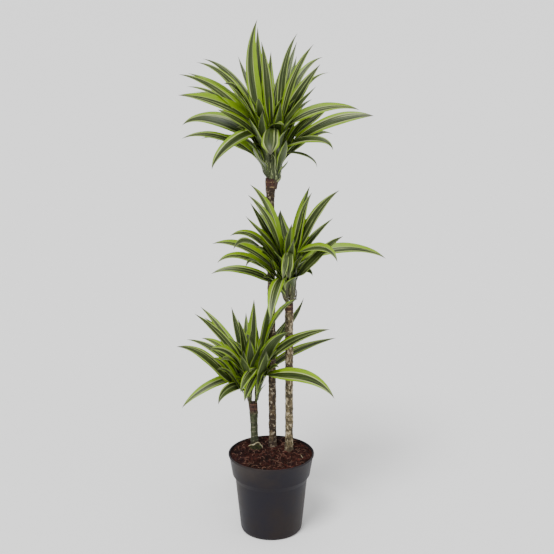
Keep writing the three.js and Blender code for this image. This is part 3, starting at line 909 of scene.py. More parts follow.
TALL_LEFT: list[LeafRow] = [
    (-35, 15, 310, 84, 112, 37, 62, 0.8),
    (-35, 75, 290, 82, 85, 29, 0, 0.8),
    (-90, 140, 210, 76, 60, 21, 20, 0.8),
    (-185, 100, 205, 74, 8, 27, 30, 0.75),
    (-195, 20, 200, 74, 5, 29, 40, 0.75),
    (-115, -160, 160, 72, 0, 40, 55, 0.7),
    (-220, 50, 170, 71, 12, 35, 35, 0.7),
    (-235, -60, 175, 70, 8, 35, 45, 0.65),
    (-230, 110, 130, 68, -2, 25, 25, 0.6),
    (-215, 160, 110, 66, -8, 25, 15, 0.6),
    (-235, -90, 125, 60, 0, 42, 55, 0.85),
    (-95, -130, 165, 74, 35, 29, 45, 0.75),
    (-120, -60, 140, 74, 20, 25, 30, 0.75),
    (-240, 70, 30, 62, -42, 46, 50, 0.6),
    (-130, -190, 100, 67, 20, 40, 55, 0.6),
    (-235, -20, 5, 59, -27, 29, 40, 0.3),
    (-195, 130, -15, 58, -20, 27, 30, 0.35),
    (-150, -120, -60, 66, -84, 36, 55, 0.85),
    (-155, 175, -30, 56, -40, 27, 10, 0.35),
    (35, -190, 60, 65, -10, 25, 20, 0.7),
    (-60, -60, 0, 42, 20, 12, 20, 0.35),
    (-45, -90, -10, 50, 30, 12, 20, 0.25),
    (-30, -70, -35, 72, 62, 13, 10, 0.2),
    (-5, 10, 130, 82, 80, 23, 0, 0.8),
    (-20, 40, 180, 82, 72, 32, 0, 0.75),
    (-60, -110, 140, 75, 58, 32, 35, 0.75),
    (-55, -140, 110, 71, 45, 29, 40, 0.7),
    (-30, -175, 125, 71, 15, 32, 10, 0.6),
    (-55, -130, 75, 68, 35, 32, 30, 0.5),
    (-90, -60, 40, 65, -5, 32, 40, 0.4),
    (-20, -120, 90, 71, 60, 29, 10, 0.6),
    (-105, -40, 80, 70, 12, 38, 50, 0.45),
]
TALL_RIGHT: list[LeafRow] = [
    (-25, 20, 255, 82, 76, 33, 35, 0.8),
    (0, 95, 225, 81, 80, 27, 0, 0.8),
    (70, 40, 275, 82, 52, 25, 25, 0.8),
    (70, 110, 250, 79, 52, 23, 20, 0.8),
    (70, 160, 210, 75, 60, 27, 0, 0.8),
    (110, -40, 250, 80, 50, 42, 50, 0.8),
    (140, 90, 210, 76, 10, 27, 30, 0.8),
    (80, -10, 190, 81, 48, 29, 35, 0.8),
    (130, 30, 195, 77, 50, 38, 45, 0.8),
    (160, 140, 165, 71, -2, 23, 10, 0.7),
    (115, -110, 150, 73, 45, 40, 50, 0.75),
    (115, 180, 90, 66, 10, 27, 0, 0.6),
    (235, 30, 75, 70, -24, 34, 45, 0.85),
    (265, -60, 70, 64, -4, 38, 52, 0.45, 0.68),
    (160, 110, 80, 66, 32, 29, 35, 0.6),
    (170, 110, 0, 59, -28, 27, 30, 0.35),
    (160, -90, -15, 66, -80, 29, 45, 0.6),
    (120, -60, -65, 76, -86, 12, 30, 0.5),
    (0, -205, -10, 64, -78, 55, 0, 0.85, 0.78),
    (40, -70, 10, 61, 60, 27, 10, 0.3),
    (85, -150, 105, 69, 30, 42, 45, 0.55),
    (45, -60, -45, 66, 55, 12, 10, 0.2),
    (85, -90, 105, 72, 40, 29, 45, 0.6),
    (50, -120, 45, 65, 10, 32, 40, 0.45),
    (25, -120, 110, 73, 60, 32, 20, 0.6),
    (70, 20, 110, 78, 45, 34, 30, 0.6),
    (50, 70, 145, 78, 62, 36, 10, 0.75),
    (90, 110, 125, 72, 40, 34, 20, 0.6),
    (25, 60, 180, 82, 76, 34, 0, 0.8),
    (70, -110, 90, 70, 38, 36, 40, 0.6),
    (110, -60, 65, 68, 10, 36, 50, 0.45),
]


def make_plants() -> list[Plant]:
    """Lists the three plants.

    Returns:
        The plants, from the shortest to the tallest.
    """
    green_bark = BarkFinish(
        name="green bark", ground="2e331c", flake="484e32", pale="85836c", scar="1a1910",
        flakes=0.10, pales=0.0, bands=0.8, arc="644434",
    )
    tan_bark = BarkFinish(
        name="tan bark", ground="403724", flake="665a3f", pale="b0a283", scar="1e170d",
        flakes=0.13, pales=0.12, bands=0.3,
    )
    brown_bark = BarkFinish(
        name="brown bark", ground="2a1c0e", flake="4c3d28", pale="a3957d", scar="170e06",
        flakes=0.11, pales=0.08, bands=0.5,
    )
    short_left = Shoot(
        foot=(-60, 57, 343), top=(-66, 52, 450), root=(-60, 55, 335), leaves=SHORT_LEFT,
        stripes="UDUDDEUEEDUDUUDEDDUEDDDDE", girth=0.55, knuckle=0.8,
    )
    short_right = Shoot(
        foot=(-43, 58, 346), top=(-33, 44, 475), root=(-46, 57, 346), leaves=SHORT_RIGHT,
        stripes="EUEEDEEUEBDDEDDD", girth=0.5, knuckle=0.75,
    )
    middle_left = Shoot(
        foot=(41, 20, 648), top=(34, 12, 790), root=(45, 22, 645), leaves=MIDDLE_LEFT,
        stripes="UEDEEUUDUEDEDEBDDEDDDDDED", girth=0.72,
    )
    middle_right = Shoot(
        foot=(58, 23, 648), top=(52, 16, 790), root=(54, 23, 643), leaves=MIDDLE_RIGHT,
        stripes="UEEEEUUDEEDEDEU", girth=0.8,
    )
    tall_left = Shoot(
        foot=(-10, 49, 988), top=(-13, 48, 1125), root=(-5, 47, 984), leaves=TALL_LEFT,
        stripes="UEDDEDUEBUUUEEEEUUDEDDDEUUUEDDED",
    )
    tall_right = Shoot(
        foot=(16, 49, 976), top=(13, 52, 1125), root=(10, 47, 965), leaves=TALL_RIGHT,
        stripes="EEDDDEUUEEDDUEEEUDEDUDEDEEUDDDE", knuckle=0.75,
    )
    tall_stub = Shoot(
        foot=(2, 50, 975), top=(2, 50, 1075), root=(0, 50, 975), leaves=[], girth=0.85
    )
    return [
        Plant(
            name="short", foot=(-47, 53), top=(-51, 58, 354), heart=(-48, 55, 427),
            shoots=[short_left, short_right], added=5, seed=1001, neighbours=[5],
            papery=0.7, cane_radius=10.3, top_flare=1.6, bark=green_bark,
        ),
        Plant(
            name="middle", foot=(50, 18), top=(49, 25, 655), heart=(40, 15, 762),
            shoots=[middle_left, middle_right], added=4, seed=1018, neighbours=[137],
            papery=0.9, cane_radius=11.0, top_flare=0.6, bark=tan_bark,
        ),
        Plant(
            name="tall", foot=(4, 45), top=(-2, 50, 994), heart=(0, 52, 1096),
            shoots=[tall_left, tall_right, tall_stub], added=6, seed=1035, neighbours=[],
            papery=0.2, cane_radius=10.6, top_flare=2.8, bark=brown_bark,
        ),
    ]


# ---- canes


@dataclass
class Cane:
    """A bare cane with a low ridge at every leaf scar.

    Attributes:
        flare: How much it widens at the soil.
        top_flare_depths: Where it widens below its top, from the start to the full width.
        brown_depths: Where it turns brown below its top, in the same way.
        damp_heights: Where it dries above the soil.
    """

    plant: Plant
    buried: float = 140
    scar_step: float = 13.5
    scar_width: float = 1.1
    scar_rise: float = 0.7
    lump: float = 1.1
    lump_scale: float = 0.06
    flare: float = 1.0
    flare_height: float = 25
    top_flare_depths: Span = (70, 20)
    brown_depths: Span = (34, 16)
    damp_heights: Span = (6, 26)
    sides: int = 40
    ring_step: float = 1.7

    def centre(self, height: float) -> np.ndarray:
        """The cane's centre, upright in the soil and leaning evenly above it.

        Args:
            height: The height that it is wanted at.

        Returns:
            The centre.
        """
        foot, top = self.plant.foot, self.plant.top
        share = min(max((height - SOIL_EDGE) / (top[2] - SOIL_EDGE), 0.0), 1.0)
        return np.array([blend(foot[0], top[0], share), blend(foot[1], top[1], share), height])

    def scar(self, height: float, angle: float) -> float:
        """How near a point is to a leaf scar. The scars climb in slow waves.

        Args:
            height: The point's height.
            angle: Its place round the cane, in radians.

        Returns:
            The nearness, from 0 to 1.
        """
        wave = 0.9 * math.sin(angle + height * 0.021) + 0.5 * math.sin(2 * angle - height * 0.05)
        phase = ((height + wave) / self.scar_step) % 1.0
        return math.exp(-((min(phase, 1 - phase) * self.scar_step / self.scar_width) ** 2))

    def build(self) -> None:
        """Makes the cane."""
        plant = self.plant
        foot, top = SOIL_EDGE - self.buried, plant.top[2]
        levels = np.linspace(foot, top, int((top - foot) / self.ring_step) + 1)
        widening = [top - depth for depth in self.top_flare_depths]
        rings, scars = [], []
        for level in levels:
            centre = self.centre(level)
            flare = self.flare * math.exp(-(((level - SOIL_EDGE) / self.flare_height) ** 2))
            flare += plant.top_flare * float(smooth(*widening, level))
            row = []
            for i, direction in enumerate(ring(self.sides)):
                spot = Vector((centre + direction * plant.cane_radius) * self.lump_scale)
                lump = noise.fractal(spot + Vector((0, 0, plant.seed)), 0.8, 2.0, 4)
                scar = self.scar(level, i * TURN / self.sides)
                radius = plant.cane_radius + flare + self.scar_rise * scar + self.lump * lump
                row.append(centre + direction * radius)
                scars.append(scar)
            rings.append(np.array(row))
        brown = smooth(*(top - depth for depth in self.brown_depths), levels)
        damp = 1 - smooth(*(SOIL_EDGE + height for height in self.damp_heights), levels)
        skin = Skin("ring", "top", "foot")
        skin.add_tube(
            rings,
            [self.centre(foot), self.centre(top)],
            ring=[*scars, 0, 0],
            top=[*np.repeat(brown, self.sides), 0, 1],
            foot=[*np.repeat(damp, self.sides), 1, 0],
        )
        bark = plant.bark.make()
        skin.piece(f"{plant.name}_cane", bark, f"cane_{plant.name}", crease=60)


# ---- leaves


def pick(draw: Draw, is_arching: bool) -> Stripes:
    """A leaf's stripes, each way as often as it is seen on the plant.

    Args:
        draw: The run of numbers that picks.
        is_arching: Whether the leaf arches over, which shows its broad upper margin more.

    Returns:
        The stripes.
    """
    share = draw.next()
    limits = zip(Stripes, ARCHING_SHARES if is_arching else UPRIGHT_SHARES)
    return next((kind for kind, limit in limits if share < limit), Stripes.DARK)


@dataclass
class Leaf:
    """One long striped leaf, from the sheath that clasps its shoot to its fine point.

    Attributes:
        height: Where it leaves the shoot, as a share of the shoot's height.
        start_lift: The blade's lift where it leaves the shoot, in degrees.
        tip_lift: The blade's lift at its tip, in degrees.
        turn: How far its face is turned to the viewer, in degrees.
        draw: The run of numbers for its own marks.
        widest: Where the blade is widest, as a share of its length.
        sway: How far its middle sways to one side.
        shade: How dark it is.
        age: How dry its sheath is, from 0 to 1.
        is_sheath: Whether it is only an old sheath.
        stripes: Its stripes, where they are seen. Other leaves draw theirs.
        handles: How far the rib's curve is led by its two ends, as shares of its span.
        sheath_feet: The span of heights in which a low leaf's sheath starts.
        arching_lift: The tip's lift below which a leaf counts as arching over.
        swapped: The share of drawn leaves whose two margins are swapped.
    """

    shoot: Shoot
    height: float
    tip: np.ndarray
    start_lift: float
    tip_lift: float
    width: float
    turn: float
    draw: Draw
    widest: float = 0.45
    sway: float = 0.0
    shade: float = 0.0
    age: float = 0.0
    is_sheath: bool = False
    stripes: Stripes | None = None
    handles: Span = (0.3, 0.34)
    sheath_rows: int = 6
    blade_rows: int = 26
    columns: int = 8
    sheath_length: float = 0.3
    sheath_least: float = 0.06
    sheath_feet: Span = (0.08, 0.16)
    sheath_sink: float = 1.6
    layer: float = 2.6
    sheath_curl: float = 74
    sheath_twist: float = 0.7
    root_curl: float = 70
    blade_curl: float = 20
    hanging_curl: float = -60
    hanging_root_curl: float = 30
    hanging_lift: float = -65
    root_share: float = 0.56
    fineness: float = 1.15
    thick: float = 1.0
    thin: float = 0.35
    sheath_along: float = 0.25
    bend_reach: int = 4
    bend_passes: int = 3
    ripples: Span = (14, 22)
    ripple_depth: float = 0.05
    arching_lift: float = 20
    swapped: float = 0.25

    @property
    def is_hanging(self) -> bool:
        """Whether the leaf's tip hangs down."""
        return self.tip_lift < self.hanging_lift

    def share_of_width(self, along: np.ndarray) -> np.ndarray:
        """The share of its greatest width, along a blade that ends in a long fine point.

        Args:
            along: The shares of the blade's length.

        Returns:
            The share of the width at each.
        """
        grown = self.root_share + (1 - self.root_share) * smooth(0.05, self.widest, along)
        past = np.clip((along - self.widest) / (1 - self.widest), 0, 1)
        return grown * (1 - past) ** self.fineness * (1 + self.fineness * past)

    def path(self) -> tuple[np.ndarray, np.ndarray, np.ndarray, np.ndarray]:
        """The leaf's rib, first up the shoot's skin and then out to the tip.

        Returns:
            The points, how far along the blade each one is, which is below 0 on the sheath,
            the radius that the sheath has there, and the level direction that the leaf faces
            away from the shoot in.
        """
        axis = self.shoot.axis(self.height)
        outward = unit((self.tip - axis) * LEVEL)
        layer = self.layer * self.shoot.girth * (1 - self.height) + self.draw.between(0, 0.7)
        radius = self.shoot.radius(self.height) + layer
        root = axis + outward * radius
        span = float(np.linalg.norm(self.tip - root))
        level = unit((self.tip - root) * LEVEL)
        start, end = math.radians(self.start_lift), math.radians(self.tip_lift)
        leaving = outward * math.cos(start) + UP * math.sin(start)
        arriving = level * math.cos(end) + UP * math.sin(end)
        aside = np.cross(level, UP) * self.sway
        share = np.linspace(0, 1, self.blade_rows + 1)[:, None]
        rest = 1 - share
        blade = (
            rest**3 * root
            + 3 * rest**2 * share * (root + leaving * self.handles[0] * span + aside)
            + 3 * rest * share**2 * (self.tip - arriving * self.handles[1] * span + aside)
            + share**3 * self.tip
        )

        low = max(self.height - self.sheath_length, self.draw.between(*self.sheath_feet))
        low = min(low, self.height - self.sheath_least)
        compass = math.degrees(math.atan2(outward[1], outward[0]))
        twist = math.degrees(self.draw.between(-self.sheath_twist, self.sheath_twist))
        steps = np.linspace(0, 1, self.sheath_rows + 1)[:-1]
        points, radii, ways = [], [], []
        for step in steps:
            height = blend(low, self.height, step)
            sunk = blend(-self.sheath_sink, layer, float(smooth(0, 0.5, step)))
            radii.append(self.shoot.radius(height) + sunk)
            ways.append(heading(compass + twist * (1 - step)))
            points.append(self.shoot.axis(height) + ways[-1] * radii[-1])
        radii += [radius] * len(blade)
        ways += [level] * len(blade)
        points = np.concatenate([np.array(points), blade])
        along = np.concatenate([(steps - 1) * self.sheath_along, share[:, 0]])
        self._soften_bend(points)
        return points, along, np.array(radii), np.array(ways)

    def _soften_bend(self, points: np.ndarray) -> None:
        """Rounds the rib where the sheath turns into the blade.

        Args:
            points: The rib's points, which it moves.
        """
        inner = slice(self.sheath_rows - self.bend_reach, self.sheath_rows + self.bend_reach + 1)
        before, after = (slice(inner.start + by, inner.stop + by) for by in (-1, 1))
        for _ in range(self.bend_passes):
            points[inner] = points[inner] * 0.5 + (points[before] + points[after]) * 0.25

    def grow(self, skin: Skin) -> None:
        """Adds the leaf to a crown's skin.

        Args:
            skin: The skin that takes the leaf.
        """
        points, along, radii, ways = self.path()
        tangent = unit(np.gradient(points, axis=0))
        across = np.cross(ways, UP)
        side = unit(across - (tangent * across).sum(1)[:, None] * tangent)
        face = np.cross(side, tangent)
        toward_viewer = 1.0 if across[-1, 1] < 0 else -1.0
        roll = math.radians(self.turn) * toward_viewer * smooth(0.02, 0.35, along)[:, None]
        side, face = (
            np.cos(roll) * side - np.sin(roll) * face,
            np.cos(roll) * face + np.sin(roll) * side,
        )

        on_blade = np.clip(along, 0, 1)
        half = self.width / 2 * self.share_of_width(on_blade)
        open_curl = self.hanging_curl if self.is_hanging else self.blade_curl
        root_curl = self.hanging_root_curl if self.is_hanging else self.root_curl
        opening = smooth(0, 0.2 if self.is_hanging else 0.4, on_blade)
        curl = np.radians(blend(root_curl, open_curl, opening))
        sheath = smooth(0.0, self.sheath_along, -along)
        clasp = math.radians(self.sheath_curl)
        half = (half + (radii * clasp - half) * sheath)[:, None]
        curl = curl + (clasp - curl) * sheath
        curl = np.where(np.abs(curl) < 1e-3, 1e-3, curl)[:, None]

        places = np.linspace(-1, 1, self.columns + 1)
        angle = curl * places[None, :]
        reach = half * np.sin(angle) / curl
        rise = half * (1 - np.cos(angle)) / curl
        phase = self.draw.between(0, TURN)
        waves = on_blade * self.draw.between(*self.ripples) + phase
        ripple = np.sin(waves)[:, None] * places**3
        rise = rise + ripple * self.ripple_depth * half * smooth(0.1, 0.4, on_blade)[:, None]
        side, face = side[:, None], face[:, None]
        middle = points[:, None] + reach[..., None] * side + rise[..., None] * face
        normal = face * np.cos(angle)[..., None] - side * np.sin(angle)[..., None]
        depth = blend(self.thin, self.thick, 1 - places**2)[None, :, None] / 2
        raised = normal * depth * np.clip((1 - on_blade) * 6, 0.25, 1)[:, None, None]
        upper, lower = (middle + raised)[:-1], (middle - raised)[:-1]
        upper[:, [0, -1]] = middle[:-1, [0, -1]]
        self._join(skin, upper, lower, along[:-1], places * toward_viewer, places)

    def margins(self) -> tuple[float, float]:
        """Draws where the leaf's lime margins start.

        Returns:
            The shares of the half width on its upper and lower side, as the viewer sees it.
        """
        drawn = pick(self.draw, self.tip_lift < self.arching_lift)
        if self.is_hanging:
            drawn = Stripes.EVEN
        far, near = (self.draw.between(*span) for span in (self.stripes or drawn).value)
        is_swapped = self.draw.next() < self.swapped and self.stripes is None
        return (near, far) if is_swapped else (far, near)

    def _join(
        self,
        skin: Skin,
        upper: np.ndarray,
        lower: np.ndarray,
        along: np.ndarray,
        seen_places: np.ndarray,
        places: np.ndarray,
    ) -> None:
        """Joins the leaf's two faces and its tip into one closed form.

        Args:
            skin: The skin that takes it.
            upper: The upper face's points, row by row.
            lower: The lower face's points. Its edges are the upper face's.
            along: How far along the blade each row is.
            seen_places: The columns' places from -1 to 1, where below 0 is the side that the
                viewer sees as the upper one.
            places: The columns' places from -1 to 1.
        """
        rows, wide = upper.shape[:2]
        size, tip = rows * wide, rows * (2 * wide - 2)
        top = np.arange(size).reshape(rows, wide)
        under = top.copy()
        under[:, 1:-1] = np.arange(size, tip).reshape(rows, wide - 2)
        faces = np.stack([quads(top), quads(under)[..., [0, 3, 2, 1]]], 2).reshape(-1, 4).tolist()
        for j in range(wide - 1):
            faces.append([top[-1, j], top[-1, j + 1], tip])
            faces.append([under[-1, j + 1], under[-1, j], tip])
            corners = [top[0, j + 1], top[0, j], under[0, j], under[0, j + 1]]
            faces.append(list(dict.fromkeys(corners)))

        def spread(values: np.ndarray, last: float) -> np.ndarray:
            """A value of each row or column, given to the points of both faces and the tip."""
            whole = np.broadcast_to(values, (rows, wide))
            return np.concatenate([whole.ravel(), whole[:, 1:-1].ravel(), [last]])

        shown = np.full_like(along, SHEATH_ALONG) if self.is_sheath else along
        skin.add(
            np.concatenate([upper.reshape(-1, 3), lower[:, 1:-1].reshape(-1, 3), [self.tip]]),
            faces,
            across=spread(places, 0.0),
            along=spread(shown[:, None], 1.0),
            margin=spread(np.interp(seen_places, [-0.2, 0.2], self.margins()), 0.65),
            upper=np.concatenate([np.ones(size), np.zeros(tip - size), [1.0]]),
            tone=self.draw.next(),
            shade=self.shade,
            age=self.age,
        )


@dataclass
class Crown:
    """The shoots of a plant with all their leaves.

    The spans from arc to widths, and those of the start lifts and places, are of the leaves
    that a rule adds at the back. They go from the oldest leaf to the youngest.

    Attributes:
        arc: How far from the back a leaf may point, in degrees.
        lifts: How steeply the tip is seen from the crown's heart, in degrees.
        lift_play: How much the lifts vary.
        side_cut: The share that a leaf to the side is shorter by.
        risen_lifts: The lifts from which and up to which the start lift and the place rise.
        tip_droop: How much less the tip's own lift is.
        clearance: How far the leaves keep from a neighbouring cane, in degrees.
        sheaths: How many old sheaths a shoot has. The names that start with sheath are theirs.
        sheath_turns: How far a sheath's heading is off the golden turn, in degrees.
        sheath_rises: How much higher its tip is, as a share of the shoot's height.
        sheath_reaches: How far out its tip is, in shares of the shoot's radius there.
        sheath_spread: How much farther out the tips are at the top.
        marks_seed: What is added to the plant's seed for the leaves' own marks.
    """

    plant: Plant
    finish: bpy.types.Material
    arc: Span = (25, 110)
    lifts: Span = (-5, 70)
    lengths: Span = (235, 160)
    widths: Span = (26, 32)
    lift_play: float = 8
    side_cut: float = 0.25
    risen_lifts: Span = (-20, 70)
    start_lifts: Span = (52, 82)
    places: Span = (0.25, 0.8)
    tip_droop: float = 35
    clearance: float = 34
    sheaths: int = 26
    sheath_heights: Span = (0.15, 0.85)
    sheath_turns: Span = (-25, 25)
    sheath_rises: Span = (0.14, 0.36)
    sheath_reaches: Span = (1.1, 1.4)
    sheath_spread: float = 0.9
    sheath_widths: Span = (0.8, 1.3)
    sheath_lift: float = 82
    sheath_tip_lifts: Span = (15, 75)
    sheath_shades: Span = (0.0, 0.85)
    sheath_ages: Span = (0.4, 1.0)
    leaf_age: float = 0.9
    marks_seed: int = 500
    sway: float = 9
    stem_sides: int = 20
    stem_rings: int = 14
    stem_sink: float = 0.8
    stem_papery: Span = (0.1, 0.35)
    stem_root: Span = (0.04, 0.14)

    def leaf_to(self, shoot: Shoot, tip: np.ndarray, row: tuple, draw: Draw) -> Leaf:
        """A leaf to a tip, from the numbers of a row after its tip's three."""
        start_lift, tip_lift, width, turn, place, *widest = row
        return Leaf(shoot, place, tip, start_lift, tip_lift, width, turn, draw, *widest)

    def added_leaves(self, shoot: Shoot, spread: Draw, marks: Draw) -> list[Leaf]:
        """The leaves of the crown's back, spread by the golden turn, the oldest low.

        Args:
            shoot: The shoot that they grow on.
            spread: The run of numbers for their places.
            marks: The run of numbers for their own marks.

        Returns:
            The leaves.
        """
        leaves = []
        for i in range(self.plant.added):
            youth = i / (self.plant.added - 1)
            share = (i * GOLDEN_TURN + spread.next() * 0.1) % 1
            compass = 90 + (2 * share - 1) * blend(*self.arc, youth)
            for neighbour in self.plant.neighbours:
                off = compass - neighbour
                if abs(off) < self.clearance:
                    compass = neighbour + math.copysign(self.clearance, off)
            lift = blend(*self.lifts, youth) + self.lift_play * (spread.next() - 0.5)
            side_share = abs(math.cos(math.radians(compass)))
            length = blend(*self.lengths, youth) * (1 - self.side_cut * side_share)
            width = spread.between(*self.widths)
            angle = math.radians(lift)
            tip = heading(compass) * length * math.cos(angle) + UP * length * math.sin(angle)
            low, high = self.risen_lifts
            risen = min(max((lift - low) / (high - low), 0.0), 1.0)
            start_lift, place = blend(*self.start_lifts, risen), blend(*self.places, risen)
            row = (start_lift, lift - self.tip_droop, width, 0.0, place)
            leaf = self.leaf_to(shoot, tip + np.array(self.plant.heart), row, marks)
            leaf.sway = self.sway * math.sin(i)
            leaves.append(leaf)
        return leaves

    def old_sheath(self, shoot: Shoot, number: int, draw: Draw) -> Leaf:
        """One of the short pointed sheaths that overlap round a shoot, from its foot up.

        Args:
            shoot: The shoot.
            number: The sheath's number, counted from the foot.
            draw: The run of numbers for its marks.

        Returns:
            The sheath.
        """
        share = number / (self.sheaths - 1)
        height = blend(*self.sheath_heights, share)
        outward = heading(360 * GOLDEN_TURN * number + draw.between(*self.sheath_turns))
        rise = draw.between(*self.sheath_rises)
        radius = shoot.radius(height)
        least, most = self.sheath_reaches
        reach = radius * draw.between(least, most + self.sheath_spread * share) + 2
        tip = shoot.axis(height + rise) + outward * reach
        width = radius * draw.between(*self.sheath_widths)
        tip_lift = draw.between(*self.sheath_tip_lifts)
        leaf = Leaf(shoot, height, tip, self.sheath_lift, tip_lift, width, turn=0.0, draw=draw)
        leaf.root_share, leaf.is_sheath = 0.9, True
        leaf.sheath_length, leaf.sheath_curl, leaf.sheath_twist = 0.2, 58, 1.2
        leaf.shade = draw.between(*self.sheath_shades)
        leaf.age = draw.between(*self.sheath_ages) * (1 - smooth(0.0, self.plant.papery, height))
        return leaf

    def build(self) -> None:
        """Makes the crown."""
        plant = self.plant
        skin = Skin("across", "along", "margin", "upper", "tone", "shade", "age")
        spread, marks = Draw(plant.seed), Draw(plant.seed + self.marks_seed)
        heart = np.array(plant.heart, float)
        leaves = []
        for shoot in plant.shoots:
            self._add_stem(skin, shoot)
            for row, letter in zip(shoot.leaves, shoot.stripes, strict=True):
                leaf = self.leaf_to(shoot, heart + row[:3], row[3:], marks)
                leaf.stripes = STRIPE_LETTERS[letter]
                leaf.sway = self.sway * math.sin(row[0] + row[2])
                leaf.age = self.leaf_age * (1 - smooth(0.0, plant.papery, leaf.height))
                leaves.append(leaf)
        for shoot in plant.shoots:
            if shoot.leaves:
                leaves += self.added_leaves(shoot, spread, marks)
        for shoot, number in product(plant.shoots, range(self.sheaths)):
            leaves.append(self.old_sheath(shoot, number, marks))
        for leaf in leaves:
            leaf.grow(skin)
        skin.piece(f"{plant.name}_crown", self.finish, f"crown_{plant.name}", crease=50)

    def _add_stem(self, skin: Skin, shoot: Shoot) -> None:
        """Adds the stem inside a shoot.

        Args:
            skin: The crown's skin.
            shoot: The shoot.
        """
        shares = np.linspace(0, 1, self.stem_rings)
        around = ring(self.stem_sides)
        rings = [
            shoot.axis(share) + around * (shoot.radius(share) - self.stem_sink) for share in shares
        ]
        ages = 1 - smooth(*self.stem_papery, shares) + (1 - smooth(*self.stem_root, shares))
        skin.add_tube(
            rings,
            [shoot.axis(0), shoot.axis(1)],
            along=SHEATH_ALONG,
            margin=0.9,
            tone=0.3,
            shade=0.3,
            age=[*np.repeat(ages, self.stem_sides), 2, 0],
        )


# ---- soil


STRAND_SIDES = 5

# How far a corner may lie past a plane and still count as on it.
FLATNESS = 1e-6


def crumb_corners() -> np.ndarray:
    """The twelve corners of a regular solid of twenty triangles, at a distance of 1.

    Returns:
        The corners, one row each.
    """
    golden = (1 + math.sqrt(5)) / 2
    upright = np.array([(0, a, b * golden) for a, b in product((-1, 1), repeat=2)])
    corners = np.concatenate([np.roll(upright, -turn, 1) for turn in range(3)])
    return corners / math.hypot(1, golden)


def hull_faces(points: np.ndarray) -> list[list[int]]:
    """The triangles, facing out, of the solid that has these corners.

    Args:
        points: The corners.

    Returns:
        The faces.
    """
    faces = []
    for i, j, k in combinations(range(len(points)), 3):
        normal = np.cross(points[j] - points[i], points[k] - points[i])
        beyond = (points - points[i]) @ normal
        if beyond.max() < FLATNESS:
            faces.append([i, j, k])
        elif beyond.min() > -FLATNESS:
            faces.append([i, k, j])
    return faces


def add_strand(skin: Skin, route: np.ndarray, radius: float, tone: float) -> None:
    """Adds a thin round strand that narrows to its ends.

    Args:
        skin: The skin that takes it.
        route: The points that it runs through.
        radius: Its greatest radius.
        tone: Its tone, from 0 to 1.
    """
    tangent = unit(np.gradient(route, axis=0))
    first = unit(np.cross(tangent, [0.31, 0.84, 0.17]))
    second = np.cross(tangent, first)
    shares = np.linspace(0, 1, len(route))
    girths = radius * (0.35 + 0.65 * np.sin(math.pi * (0.15 + 0.7 * shares)))
    around = ring(STRAND_SIDES)[:, :2]
    rings = [
        centre + around @ np.stack(sides) * girth
        for centre, sides, girth in zip(route, zip(first, second), girths)
    ]
    skin.add_tube(rings, [route[0], route[-1]], tone=tone)


# The pale roots: the radius of each, and its places on the soil with their lift over it.
ROOTS: list[tuple[float, list[Point]]] = [
    (1.7, [(-66, 40, 2), (-58, 37, 7), (-50, 36, 10), (-43, 36, 13), (-38, 37, 15), (-33, 39, 11),
           (-31, 41, 5)]),
    (1.2, [(-38, 47, 1), (-32, 42, 5), (-27, 36, 4), (-25, 30, 1)]),
    (0.6, [(82, -18, 2), (84, -26, 4), (86, -34, 3.5), (86, -40, 1.5)]),
]


